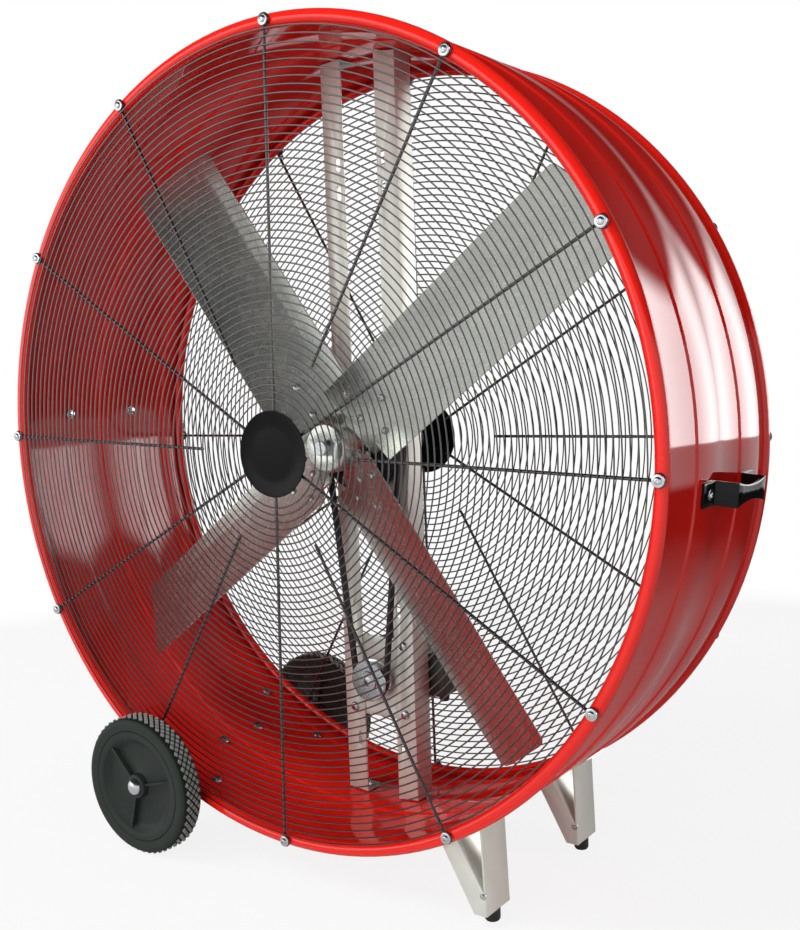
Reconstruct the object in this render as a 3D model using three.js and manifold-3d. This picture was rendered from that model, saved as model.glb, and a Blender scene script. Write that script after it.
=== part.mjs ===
// A belt-driven drum fan on two wheels and two legs.
// Millimetres. The origin is on the floor under the middle of the drum.
// +X is right seen from the front, -Y is the front (the side that blows), +Z is up.
import * as THREE from 'three';
import { mergeVertices } from 'three/addons/utils/BufferGeometryUtils.js';
import Module from 'manifold-3d';

const wasm = await Module();
wasm.setup();

// ---- Driving dimensions: drum ----
const DRUM_RADIUS = 655; // outside of the plain wall
const DRUM_DEPTH = 412; // over both rolled rims
const SHEET = 1.5; // drum sheet
const RIM_RADIUS = 11; // round of the rolled rim
const RIM_PROUD = 6; // how far the rim stands out past the wall
const RIM_CURL = THREE.MathUtils.degToRad(245); // where the curl ends, just short of the wall
const BAND_WIDTH = 84; // each of the two raised bands
const BAND_SPACING = 168; // front edge of one band to front edge of the next
const BAND_START = 110; // front of the drum to the first band
const BAND_RISE = 3;
const BAND_SLOPE = 5; // length of the step up to a band

// ---- Grilles ----
const RING_WIRE = 2.5;
const SPOKE_WIRE = 5;
const OUTER_RING_INSET = 14; // outermost ring inside the middle of the rolled rim
const RING_PITCH = 70.2; // the real one has six rings in this space
const LAST_RING = 150; // no ring is smaller than this, apart from the hub ring behind the badge
const HUB_RING = 64; // behind the badge
const SHORT_SPOKE_END = 159;
const SPOKES = 12;
const FRONT_GRILLE_TURN = THREE.MathUtils.degToRad(1.8);
const REAR_GRILLE_TURN = THREE.MathUtils.degToRad(-0.6);
const REAR_GRILLE_RECESS = 10; // how far the rear grille lies inside the rear rim's face
const EYELET_RADIUS = 8;
const BOLT_HEAD = 5.5; // radius of a grille bolt's head
const BOLT_HEAD_HEIGHT = 5;
const BADGE_RADIUS = 69;
const BADGE_THICKNESS = 2;

// ---- Fan and drive ----
const SHAFT_RADIUS = 12.5;
const FAN_Y = -57; // middle of the blades
const TIP_CLEARANCE = 54; // blade tip to the outside of the wall
const BLADE_ROOT = 56;
const BLADE_CHORD = 157;
const BLADE_SHEET = 2.5;
const BLADE_CORNER = 22; // rounding of the tip's corners
const BLADE_ANGLE = THREE.MathUtils.degToRad(53.7); // first blade, clockwise from the top
const BLADES = 4;
const BLADE_PITCHES = [30, 27.5, 14].map(THREE.MathUtils.degToRad); // trailing lip, middle, leading lip
const BLADE_SHARES = [0.12, 0.68, 0.2]; // of the chord
const SPIDER_HUB_RADIUS = 43;
const SPIDER_HUB_LENGTH = 60;
const SPIDER_ARM_REACH = 142;
const SPIDER_ARM_WIDTH = 104;
const SPIDER_PLATE = 5;
const BELT_Y = 16; // middle of the belt
const SHEAVE_RADIUS = 85;
const PULLEY_RADIUS = 37;
const GROOVE_DEPTH = 12;
const GROOVE_TOP = 13.6;
const GROOVE_BOTTOM = 6.6;
const SHEAVE_WIDTH = 20;
const BELT_SINK = 1; // how far the belt's back lies under the rims of the grooves
const BELT_HEIGHT = 8;
const SHEAVE_HUB = 28; // radius of the large wheel's hub
const SHEAVE_HUB_LENGTH = 30;
const PULLEY_HUB = 18;
const PULLEY_HUB_LENGTH = 26;
const SHAFT_FRONT = 42; // end of the shaft past the middle of the blades

// ---- Frame inside the drum ----
const UPRIGHT_Y = 39; // front face of the uprights
const ANGLE_LEG = 45; // depth of the angle's side flange
const ANGLE_SHEET = 3;
const UPRIGHT_INNER_X = 36;
const UPRIGHT_OUTER_X = 78;
const SLOT_X = 48;
const SLOT_WIDTH = 9;
const SLOT_LENGTH = 26;
const SLOT_HEIGHTS = [478, 429, -300, -549];
const TAB_DEPTH = 40;
const PLATE_SHEET = 4;
const BEARING_PLATE_HEIGHT = 150;
const HOUSING_RADIUS = 31;
const HOUSING_LENGTH = 112;
const HOUSING_FLANGE = 48;
const BEARING_RADIUS = 26;
const BEARING_WIDTH = 15;

// ---- Motor ----
const MOTOR_DROP = 426; // motor axis below the fan axis
const MOTOR_RADIUS = 70;
const MOTOR_LENGTH = 126;
const BELL_DEPTH = 22;
const MOTOR_WALL = 4;
const MOTOR_SHAFT = 8;
const MOTOR_BOSS = 20; // radius of the boss in each end bell
const MOTOR_BOSS_LENGTH = 18;
const MOTOR_SHOULDER = 14; // flat face of a bell to its outside
const WINDING_INSET = 10; // stator and rotor inside the ends of the shell
const ROTOR_RADIUS = 38;
const AIR_GAP = 1; // rotor to stator
const MOTOR_PLATE_HEIGHT = 149;
const BOX_WIDTH = 36;
const BOX_DEPTH = 84;
const BOX_HEIGHT = 77;
const BOX_BEHIND_UPRIGHT = 6;
const KNOB_RADIUS = 16;
const KNOB_DEPTH = 16;
const SPINDLE_RADIUS = 3;
const LEAD_RADIUS = 4;
const LEAD_RISE = 78; // top of the lead's loop above the motor
const GLAND_RADIUS = 11;
const GLAND_LENGTH = 16;

// ---- Wheels, axle and legs ----
const WHEEL_RADIUS = 125;
const WHEEL_WIDTH = 45;
const TYRE_INNER = 100;
const TYRE_SHOULDER = 12;
const AXLE_RADIUS = 8;
const AXLE_ANGLE = THREE.MathUtils.degToRad(28.3); // from straight down, towards -X
const AXLE_STANDOFF = 10.6; // free space between the wall and the axle
const WHEEL_GAP = 15; // drum's rim to the wheel
const WHEEL_HUB = 22;
const CAP_RADIUS = 15;
const BRACKET_INSET = 112; // middle of an axle bracket to the drum's end
const BRACKET_WIDTH = 130;
const BRACKET_SPAN = THREE.MathUtils.degToRad(17);
const BRACKET_SHEET = 4;
const FOOT_X = 349;
const FOOT_INSET = 56; // middle of a foot to the drum's end
const FOOT_HEIGHT = 20;
const FOOT_RADIUS = 12.5;
const LEG_WIDTH = 68;
const LEG_SHEET = 3;
const LEG_FLARE = THREE.MathUtils.degToRad(2.6);
const BRACE_LEAN = THREE.MathUtils.degToRad(31.7); // from upright
const BRACE_FLANGE = 27;
const BRACE_RISE = 31; // the brace meets the strut this far above the foot plate

// ---- Handles ----
const HANDLE_TURN = THREE.MathUtils.degToRad(4.8); // right handle below, left handle above the middle
const HANDLE_BOLTS = 152;
const HANDLE_FOOT = 42;
const HANDLE_STANDOFF = 36;
const HANDLE_WIDTH = 35;
const HANDLE_WAIST = 22;
const HANDLE_SHEET = 3;
const HANDLE_MIDDLES = { right_handle: 23, left_handle: -9 };

// ---- Clearances and facets ----
const GAP = 0.3; // between faces that touch on the real fan
const RUNNING = 0.4; // between a shaft and its bore, past the facets
const DRUM_SEGMENTS = 36;
const RIM_STEPS = 6;
const ROUND = 20;
const ROUND_FINE = 24;
const ROUND_SMALL = 12;

// ---- Sizes that follow from the ones above ----
const RIM_CIRCLE = DRUM_RADIUS + RIM_PROUD - RIM_RADIUS;
const OUTER_RING = RIM_CIRCLE - OUTER_RING_INSET;
const BLADE_TIP = DRUM_RADIUS - TIP_CLEARANCE;
const BRACKET_Y = DRUM_DEPTH / 2 - BRACKET_INSET;
const FOOT_Y = DRUM_DEPTH / 2 - FOOT_INSET;
const AXLE_CIRCLE = DRUM_RADIUS + AXLE_STANDOFF + AXLE_RADIUS;
const AXLE_X = -AXLE_CIRCLE * Math.sin(AXLE_ANGLE);
const AXLE_Z = -AXLE_CIRCLE * Math.cos(AXLE_ANGLE);
const HUB_HEIGHT = WHEEL_RADIUS - AXLE_Z;
const FLOOR_Z = -HUB_HEIGHT;
const SEAT_RADIUS = DRUM_RADIUS + BAND_RISE + GAP;
const PLATE_Y = UPRIGHT_Y + ANGLE_SHEET + GAP;
const BEHIND_PLATE = PLATE_Y + PLATE_SHEET + GAP;
const WHEEL_Y = DRUM_DEPTH / 2 + WHEEL_GAP + WHEEL_WIDTH / 2;
const SPOKE_Y = DRUM_DEPTH / 2 + GAP + SPOKE_WIRE / 2;
const RING_Y = SPOKE_Y + SPOKE_WIRE / 2 + RING_WIRE / 3;
const SHAFT_BORE = (SHAFT_RADIUS + RUNNING) / Math.cos(Math.PI / ROUND);
const MOTOR_BORE = (MOTOR_SHAFT + RUNNING) / Math.cos(Math.PI / ROUND);
const AXLE_BORE = (AXLE_RADIUS + RUNNING) / Math.cos(Math.PI / ROUND);
const BLADE_SPAN = BLADE_SHARES.map((share, i) => share * BLADE_CHORD * Math.cos(BLADE_PITCHES[i]));
const BLADE_HALF_WIDTH = BLADE_SPAN.reduce((sum, width) => sum + width) / 2;

// ---- Materials ----
const finish = (color, roughness, metalness) => new THREE.MeshStandardMaterial({ color, roughness, metalness });
const redEnamel = finish(0xb81f1c, 0.25, 0.1);
const blackWire = finish(0x1b1c1e, 0.4, 0.3);
const galvanised = finish(0xb9bcb6, 0.45, 0.85);
const brightSteel = finish(0xc9cbcd, 0.25, 0.95);
const castIron = finish(0x55585a, 0.5, 0.8);
const motorPaint = finish(0x2a2f2a, 0.5, 0.2);
const copper = finish(0x9a5a34, 0.5, 0.8);
const beltRubber = finish(0x17181a, 0.8, 0);
const wheelPlastic = finish(0x262b27, 0.6, 0);
const tyreRubber = finish(0x2f332f, 0.8, 0);
const blackPaint = finish(0x17191b, 0.3, 0.2);
const badgePlastic = finish(0x231f20, 0.25, 0);

// ---- Solid helpers ----
function weld(geometry) {
  const bare = geometry.clone();
  bare.deleteAttribute('normal');
  bare.deleteAttribute('uv');
  const welded = mergeVertices(bare, 1e-3);
  const corners = welded.index.array;
  const kept = [];
  for (let i = 0; i < corners.length; i += 3) {
    const triangle = [corners[i], corners[i + 1], corners[i + 2]];
    if (new Set(triangle).size === 3) {
      kept.push(...triangle);
    }
  }
  welded.setIndex(kept);
  return welded;
}

function toSolid(geometry) {
  const welded = weld(geometry);
  const vertProperties = new Float32Array(welded.attributes.position.array);
  const triVerts = new Uint32Array(welded.index.array);
  return new wasm.Manifold(new wasm.Mesh({ numProp: 3, vertProperties, triVerts }));
}

function toGeometry(body) {
  const { vertProperties, triVerts } = body.getMesh();
  const geometry = new THREE.BufferGeometry();
  geometry.setAttribute('position', new THREE.BufferAttribute(new Float32Array(vertProperties), 3));
  geometry.setIndex(new THREE.BufferAttribute(new Uint32Array(triVerts), 1));
  geometry.computeVertexNormals();
  return geometry;
}

function unite(...shapes) {
  return toGeometry(shapes.map(toSolid).reduce((sum, next) => sum.add(next)));
}

function cut(shape, ...tools) {
  return toGeometry(tools.map(toSolid).reduce((rest, tool) => rest.subtract(tool), toSolid(shape)));
}

function intersect(shape, tool) {
  return toGeometry(toSolid(shape).intersect(toSolid(tool)));
}

function part(name, geometry, material) {
  const mesh = new THREE.Mesh(geometry, material);
  mesh.name = name;
  return mesh;
}

// A closed outline of [radius, y] points turned about the Y axis.
function revolve(outline, segments = ROUND) {
  const points = [...outline, outline[0]].map(([r, y]) => new THREE.Vector2(r, y));
  return new THREE.LatheGeometry(points, segments);
}

// A straight rod along Y from one place to the other.
function rod(radius, from, to, segments = ROUND) {
  const length = to - from;
  return new THREE.CylinderGeometry(radius, radius, length, segments).translate(0, from + length / 2, 0);
}

// An outline drawn in X and Z, made solid from y to y + thickness.
function plate(shape, y, thickness, curveSegments = 6) {
  const solid = new THREE.ExtrudeGeometry(shape, { depth: thickness, bevelEnabled: false, curveSegments });
  return solid.rotateX(Math.PI / 2).translate(0, y + thickness, 0);
}

function rectangle(x0, z0, x1, z1) {
  const corners = [[x0, z0], [x1, z0], [x1, z1], [x0, z1]];
  return new THREE.Shape(corners.map(([x, z]) => new THREE.Vector2(x, z)));
}

function roundHole(x, z, radius) {
  return new THREE.Path().absarc(x, z, radius, 0, 2 * Math.PI, true);
}

function slotHole(x, z, width, length) {
  const straight = (length - width) / 2;
  const hole = new THREE.Path();
  hole.absarc(x, z + straight, width / 2, 0, Math.PI, false);
  hole.absarc(x, z - straight, width / 2, Math.PI, 2 * Math.PI, false);
  return hole;
}

function arcPoints(radius, y, size, side, from, to, steps) {
  return Array.from({ length: steps + 1 }, (_, i) => {
    const angle = from + ((to - from) * i) / steps;
    return [radius + size * Math.cos(angle), y + side * size * Math.sin(angle)];
  });
}

// ---- Drum ----
// The wall from front to rear, with its two raised bands, moved out by offset.
function wallLine(offset) {
  const line = [];
  for (let band = 0; band < 2; band += 1) {
    const front = -DRUM_DEPTH / 2 + BAND_START + band * BAND_SPACING;
    const rear = front + BAND_WIDTH;
    line.push([DRUM_RADIUS + offset, front - BAND_SLOPE / 2]);
    line.push([DRUM_RADIUS + BAND_RISE + offset, front + BAND_SLOPE / 2]);
    line.push([DRUM_RADIUS + BAND_RISE + offset, rear - BAND_SLOPE / 2]);
    line.push([DRUM_RADIUS + offset, rear + BAND_SLOPE / 2]);
  }
  return line;
}

function rimArc(side, size, wall, steps) {
  const start = -Math.acos((wall - RIM_CIRCLE) / size);
  const middle = side * (DRUM_DEPTH / 2 - RIM_RADIUS);
  return arcPoints(RIM_CIRCLE, middle, size, side, start, RIM_CURL, steps);
}

function drumShell() {
  const innerWall = DRUM_RADIUS - SHEET;
  const rearOuter = rimArc(1, RIM_RADIUS, DRUM_RADIUS, RIM_STEPS);
  const rearInner = rimArc(1, RIM_RADIUS - SHEET, innerWall, RIM_STEPS).reverse();
  const frontInner = rimArc(-1, RIM_RADIUS - SHEET, innerWall, RIM_STEPS);
  const frontOuter = rimArc(-1, RIM_RADIUS, DRUM_RADIUS, RIM_STEPS).reverse();
  const inside = wallLine(-SHEET).reverse();
  return revolve([...wallLine(0), ...rearOuter, ...rearInner, ...inside, ...frontInner, ...frontOuter], DRUM_SEGMENTS);
}

// The space that the drum takes up, for cutting what seats on its outside.
function drumEnvelope(clearance) {
  const end = DRUM_DEPTH / 2 - RIM_RADIUS;
  const outside = [[DRUM_RADIUS + clearance, -end], ...wallLine(clearance), [DRUM_RADIUS + clearance, end]];
  return revolve([[0, -end], ...outside, [0, end]], DRUM_SEGMENTS);
}

function drumInside(clearance) {
  const radius = DRUM_RADIUS - SHEET - clearance;
  return rod(radius, -DRUM_DEPTH / 2, DRUM_DEPTH / 2, DRUM_SEGMENTS);
}

// ---- Grilles ----
function ringRadii() {
  const radii = [];
  for (let radius = OUTER_RING; radius >= LAST_RING; radius -= RING_PITCH) {
    radii.push(radius);
  }
  return [...radii, HUB_RING];
}

function ringWire(radius, y) {
  const facets = radius > OUTER_RING / 4 ? 2 * SPOKES : SPOKES;
  const ring = new THREE.TorusGeometry(radius, 0.6 * RING_WIRE, 3, facets).rotateZ(Math.PI / facets);
  return ring.rotateX(Math.PI / 2).translate(0, y, 0);
}

// One spoke, pointing up: the wire, its way over the rim, its eyelet and the bolt through it.
function spoke(side, inner, recess) {
  const width = 0.88 * SPOKE_WIRE;
  const flatY = side * (SPOKE_Y - recess);
  const faceY = side * SPOKE_Y;
  const flatEnd = recess > 0 ? OUTER_RING : RIM_CIRCLE;
  const wire = new THREE.BoxGeometry(width, width, flatEnd - inner).translate(0, flatY, (flatEnd + inner) / 2);
  const eyelet = rod(EYELET_RADIUS, faceY - width / 2, faceY + width / 2, 8).translate(0, 0, RIM_CIRCLE);
  const headFrom = faceY + side * (width / 2 - 1);
  const headTo = headFrom + side * BOLT_HEAD_HEIGHT;
  const head = rod(BOLT_HEAD, Math.min(headFrom, headTo), Math.max(headFrom, headTo), 6).translate(0, 0, RIM_CIRCLE);
  const pieces = [wire, eyelet, head];
  if (recess > 0) {
    const over = new THREE.BoxGeometry(width, recess + width, width);
    pieces.push(over.translate(0, side * (SPOKE_Y - recess / 2), OUTER_RING));
    const lap = RIM_CIRCLE - OUTER_RING;
    pieces.push(new THREE.BoxGeometry(width, width, lap).translate(0, faceY, OUTER_RING + lap / 2));
  }
  return unite(...pieces);
}

function grille(side, recess) {
  const ringY = side * (RING_Y - recess);
  const rings = ringRadii().map((radius) => ringWire(radius, ringY));
  const spokes = Array.from({ length: SPOKES }, (_, i) => {
    const inner = i % 2 === 0 ? HUB_RING * Math.cos(Math.PI / SPOKES) - SPOKE_WIRE : SHORT_SPOKE_END;
    return spoke(side, inner, recess).rotateY((2 * Math.PI * i) / SPOKES);
  });
  return unite(...rings, ...spokes);
}

function badge(side, recess) {
  const near = RING_Y - recess + 0.6 * RING_WIRE + GAP;
  const disc = rod(BADGE_RADIUS, near, near + BADGE_THICKNESS, ROUND_FINE);
  return side > 0 ? disc : disc.rotateZ(Math.PI);
}

// ---- Uprights and bearing ----
function upright(side) {
  const edges = [side * UPRIGHT_INNER_X, side * UPRIGHT_OUTER_X].sort((a, b) => a - b);
  const front = rectangle(edges[0], -DRUM_RADIUS, edges[1], DRUM_RADIUS);
  for (const height of SLOT_HEIGHTS) {
    front.holes.push(slotHole(side * SLOT_X, height, SLOT_WIDTH, SLOT_LENGTH));
  }
  const flange = plate(front, UPRIGHT_Y, ANGLE_SHEET, 3);
  const sideX = side * (UPRIGHT_OUTER_X - ANGLE_SHEET / 2);
  const back = new THREE.BoxGeometry(ANGLE_SHEET, ANGLE_LEG, 2 * DRUM_RADIUS);
  back.translate(sideX, UPRIGHT_Y + ANGLE_LEG / 2, 0);
  const tabs = [-1, 1].map((end) => {
    const tab = new THREE.BoxGeometry(UPRIGHT_OUTER_X - UPRIGHT_INNER_X, TAB_DEPTH, 12);
    const middle = (UPRIGHT_INNER_X + UPRIGHT_OUTER_X) / 2;
    const angle = Math.asin(middle / DRUM_RADIUS);
    tab.translate(0, UPRIGHT_Y + TAB_DEPTH / 2 + ANGLE_SHEET, DRUM_RADIUS + 0.5);
    return tab.rotateY(end > 0 ? side * angle : Math.PI - side * angle);
  });
  return intersect(unite(flange, back, ...tabs), drumInside(GAP));
}

function bearingPlate() {
  const half = UPRIGHT_OUTER_X - ANGLE_SHEET - GAP;
  const outline = rectangle(-half, -BEARING_PLATE_HEIGHT / 2, half, BEARING_PLATE_HEIGHT / 2);
  outline.holes.push(roundHole(0, 0, BEARING_RADIUS));
  return plate(outline, PLATE_Y, PLATE_SHEET, ROUND / 2);
}

function bearingHousing() {
  const front = BEHIND_PLATE;
  const rear = front + HOUSING_LENGTH;
  return revolve([
    [BEARING_RADIUS + GAP, front],
    [HOUSING_FLANGE, front],
    [HOUSING_FLANGE, front + 8],
    [HOUSING_RADIUS, front + 12],
    [HOUSING_RADIUS, rear],
    [BEARING_RADIUS + GAP, rear],
  ]);
}

function bearing(front) {
  return revolve([
    [SHAFT_BORE, front],
    [BEARING_RADIUS * Math.cos(Math.PI / ROUND), front],
    [BEARING_RADIUS * Math.cos(Math.PI / ROUND), front + BEARING_WIDTH],
    [SHAFT_BORE, front + BEARING_WIDTH],
  ]);
}

// ---- Fan ----
// The blade's section: X is the clockwise direction and Y the depth.
function bladeSection(offset) {
  let x = -BLADE_HALF_WIDTH;
  let y = 0;
  const line = [[x, y]];
  BLADE_SHARES.forEach((share, i) => {
    x += share * BLADE_CHORD * Math.cos(BLADE_PITCHES[i]);
    y += share * BLADE_CHORD * Math.sin(BLADE_PITCHES[i]);
    line.push([x, y]);
  });
  const middle = y / 2;
  return line.map(([px, py]) => new THREE.Vector2(px, py - middle + offset));
}

function bladeOutline() {
  const half = BLADE_HALF_WIDTH + 5;
  const outline = new THREE.Shape();
  outline.moveTo(-half, BLADE_ROOT);
  outline.lineTo(half, BLADE_ROOT);
  outline.lineTo(half, BLADE_TIP - BLADE_CORNER);
  outline.quadraticCurveTo(half - 3, BLADE_TIP, half - BLADE_CORNER - 5, BLADE_TIP);
  outline.lineTo(-half + BLADE_CORNER + 5, BLADE_TIP);
  outline.quadraticCurveTo(-half + 3, BLADE_TIP, -half, BLADE_TIP - BLADE_CORNER);
  return outline;
}

function blade() {
  const section = [...bladeSection(0), ...bladeSection(BLADE_SHEET).reverse()];
  const depth = BLADE_TIP - BLADE_ROOT;
  const strip = new THREE.ExtrudeGeometry(new THREE.Shape(section), { depth, bevelEnabled: false });
  strip.translate(0, 0, BLADE_ROOT);
  return intersect(strip, plate(bladeOutline(), -BLADE_CHORD / 2, BLADE_CHORD, 3));
}

// The pressed spider: a hub barrel and one pad behind each blade.
function bladeSpider() {
  const half = SPIDER_HUB_LENGTH / 2;
  const barrel = revolve([
    [SHAFT_RADIUS + GAP, -half],
    [SPIDER_HUB_RADIUS - 4, -half],
    [SPIDER_HUB_RADIUS, -half + 4],
    [SPIDER_HUB_RADIUS, half],
    [SHAFT_RADIUS + GAP, half],
  ]);
  const pitch = BLADE_PITCHES[1];
  const lift = (BLADE_SHEET + GAP) * 1.15 + SPIDER_PLATE / 2 + crossingLift();
  const pads = Array.from({ length: BLADES }, (_, i) => {
    const reach = SPIDER_ARM_REACH - SPIDER_HUB_RADIUS + 6;
    const pad = new THREE.BoxGeometry(SPIDER_ARM_WIDTH, SPIDER_PLATE, reach).rotateZ(pitch);
    pad.translate(0, lift, SPIDER_HUB_RADIUS - 6 + reach / 2);
    return pad.rotateY((2 * Math.PI * i) / BLADES);
  });
  return unite(barrel, ...pads);
}

// The blade's middle strip passes this far behind the radial line through the blade's middle.
function crossingLift() {
  const [first, second, third] = BLADE_SHARES.map((share) => share * BLADE_CHORD);
  const [a, b, c] = BLADE_PITCHES;
  const rise = first * Math.sin(a) + second * Math.sin(b) + third * Math.sin(c);
  const toCrossing = BLADE_HALF_WIDTH - first * Math.cos(a);
  return first * Math.sin(a) + toCrossing * Math.tan(b) - rise / 2;
}

// ---- Belt drive ----
function groovedWheel(radius, bore, hubRadius, hubLength, segments) {
  const half = SHEAVE_WIDTH / 2;
  const root = radius - GROOVE_DEPTH;
  const web = Math.max(hubRadius + 1, root - 6);
  return revolve([
    [bore, -hubLength / 2],
    [hubRadius, -hubLength / 2],
    [hubRadius, -4],
    [web, -4],
    [web, -half],
    [radius, -half],
    [radius, -GROOVE_TOP / 2],
    [root, -GROOVE_BOTTOM / 2],
    [root, GROOVE_BOTTOM / 2],
    [radius, GROOVE_TOP / 2],
    [radius, half],
    [web, half],
    [web, 4],
    [hubRadius, 4],
    [hubRadius, hubLength / 2],
    [bore, hubLength / 2],
  ], segments);
}

// Points of a loop of string pulled tight round both pulleys, at the given depth in their grooves.
function beltLoop(sink, y) {
  const large = SHEAVE_RADIUS - sink;
  const small = PULLEY_RADIUS - sink;
  const wrap = Math.acos((large - small) / MOTOR_DROP);
  const steps = 14;
  const points = [];
  for (let i = 0; i <= steps; i += 1) {
    const angle = -(Math.PI - wrap) + (2 * (Math.PI - wrap) * i) / steps;
    points.push(new THREE.Vector3(large * Math.sin(angle), y, large * Math.cos(angle)));
  }
  for (let i = 0; i <= steps; i += 1) {
    const angle = Math.PI - wrap + (2 * wrap * i) / steps;
    points.push(new THREE.Vector3(small * Math.sin(angle), y, small * Math.cos(angle) - MOTOR_DROP));
  }
  return points;
}

function driveBelt() {
  const grooveHalf = (sink) => {
    const share = sink / GROOVE_DEPTH;
    return (GROOVE_TOP * (1 - share) + GROOVE_BOTTOM * share) / 2 - 2 * GAP;
  };
  const back = BELT_SINK;
  const face = BELT_SINK + BELT_HEIGHT;
  const loops = [
    beltLoop(back, -grooveHalf(back)),
    beltLoop(back, grooveHalf(back)),
    beltLoop(face, grooveHalf(face)),
    beltLoop(face, -grooveHalf(face)),
  ];
  const count = loops[0].length;
  const corners = [];
  loops.forEach((loop, side) => {
    const next = (side + 1) % loops.length;
    loop.forEach((_, i) => {
      const j = (i + 1) % count;
      const a = side * count + i;
      const b = side * count + j;
      const c = next * count + j;
      const d = next * count + i;
      corners.push(a, b, c, a, c, d);
    });
  });
  const geometry = new THREE.BufferGeometry().setFromPoints(loops.flat());
  geometry.setIndex(corners);
  geometry.computeVertexNormals();
  return geometry;
}

// ---- Motor ----
const SHELL_FRONT = BEHIND_PLATE + BELL_DEPTH;
const SHELL_REAR = BEHIND_PLATE + MOTOR_LENGTH - BELL_DEPTH;

function motorPlate() {
  const half = UPRIGHT_OUTER_X - ANGLE_SHEET - GAP;
  const outline = rectangle(-half, -MOTOR_PLATE_HEIGHT / 2, half, MOTOR_PLATE_HEIGHT / 2);
  outline.holes.push(roundHole(0, 0, 24));
  for (const x of [-SLOT_X, SLOT_X]) {
    for (const z of [-50, 50]) {
      outline.holes.push(slotHole(x, z, SLOT_WIDTH, SLOT_LENGTH));
    }
  }
  return plate(outline, PLATE_Y, PLATE_SHEET, 3);
}

function motorShell() {
  return revolve([
    [MOTOR_RADIUS - MOTOR_WALL, SHELL_FRONT + GAP],
    [MOTOR_RADIUS, SHELL_FRONT + GAP],
    [MOTOR_RADIUS, SHELL_REAR - GAP],
    [MOTOR_RADIUS - MOTOR_WALL, SHELL_REAR - GAP],
  ]);
}

// A cup-shaped end bell with its boss, closed side towards the outside.
function motorBell(outer, inner) {
  const side = Math.sign(inner - outer);
  const outline = [
    [MOTOR_BORE, outer],
    [MOTOR_BOSS, outer],
    [MOTOR_BOSS, outer + (side * MOTOR_WALL) / 2],
    [MOTOR_RADIUS - MOTOR_SHOULDER, outer + (side * MOTOR_WALL) / 2],
    [MOTOR_RADIUS, outer + (side * BELL_DEPTH) / 2],
    [MOTOR_RADIUS, inner],
    [MOTOR_RADIUS - MOTOR_WALL, inner],
    [MOTOR_RADIUS - MOTOR_WALL, outer + side * (BELL_DEPTH / 2 + 1)],
    [MOTOR_BOSS, outer + side * 2 * MOTOR_WALL],
    [MOTOR_BOSS, outer + side * MOTOR_BOSS_LENGTH],
    [MOTOR_BORE, outer + side * MOTOR_BOSS_LENGTH],
  ];
  return revolve(side > 0 ? outline : outline.reverse());
}

function motorStator() {
  const outer = MOTOR_RADIUS - MOTOR_WALL - GAP;
  return revolve([
    [ROTOR_RADIUS + AIR_GAP, SHELL_FRONT + WINDING_INSET],
    [outer, SHELL_FRONT + WINDING_INSET],
    [outer, SHELL_REAR - WINDING_INSET],
    [ROTOR_RADIUS + AIR_GAP, SHELL_REAR - WINDING_INSET],
  ]);
}

function motorRotor() {
  const front = BELT_Y - SHEAVE_WIDTH / 2 - 2;
  const rear = BEHIND_PLATE + MOTOR_LENGTH - 4;
  return revolve([
    [0, front],
    [MOTOR_SHAFT, front],
    [MOTOR_SHAFT, SHELL_FRONT + WINDING_INSET],
    [ROTOR_RADIUS, SHELL_FRONT + WINDING_INSET],
    [ROTOR_RADIUS, SHELL_REAR - WINDING_INSET],
    [MOTOR_SHAFT, SHELL_REAR - WINDING_INSET],
    [MOTOR_SHAFT, rear],
    [0, rear],
  ], ROUND);
}

// ---- Switch box beside the motor ----
const BOX_X = MOTOR_RADIUS + GAP + BOX_WIDTH / 2;
const BOX_Y = UPRIGHT_Y + ANGLE_LEG + BOX_BEHIND_UPRIGHT + BOX_DEPTH / 2;
const KNOB_Z = 4; // knob above the motor axis, in the middle of a space between two rings

function switchBox() {
  const half = BOX_WIDTH / 2;
  const tall = BOX_HEIGHT / 2;
  const corner = 5;
  const outline = new THREE.Shape();
  outline.moveTo(-half, -tall);
  outline.lineTo(half - corner, -tall);
  outline.lineTo(half, -tall + corner);
  outline.lineTo(half, tall - corner);
  outline.lineTo(half - corner, tall);
  outline.lineTo(-half, tall);
  const body = plate(outline, -BOX_DEPTH / 2, BOX_DEPTH);
  const gland = new THREE.CylinderGeometry(GLAND_RADIUS, GLAND_RADIUS - 2, GLAND_LENGTH, 8).rotateX(Math.PI / 2);
  gland.translate(0, -BOX_DEPTH / 6, -tall - GLAND_LENGTH / 2 + 2);
  const spindleHole = rod(SPINDLE_RADIUS + 2 * GAP, BOX_DEPTH / 2 - 12, BOX_DEPTH / 2 + 1, 12).translate(0, 0, KNOB_Z);
  return cut(unite(body, gland), spindleHole);
}

function switchKnob() {
  const inBox = BOX_Y + BOX_DEPTH / 2 - 10;
  const outside = RING_Y + 8;
  const knob = revolve([
    [0, inBox],
    [SPINDLE_RADIUS, inBox],
    [SPINDLE_RADIUS, outside],
    [KNOB_RADIUS, outside],
    [KNOB_RADIUS - 2, outside + KNOB_DEPTH],
    [0, outside + KNOB_DEPTH],
  ], 12);
  const pointer = new THREE.BoxGeometry(4, 6, KNOB_RADIUS).translate(0, outside + KNOB_DEPTH, KNOB_RADIUS / 2 - 2);
  return unite(knob, pointer);
}

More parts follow.
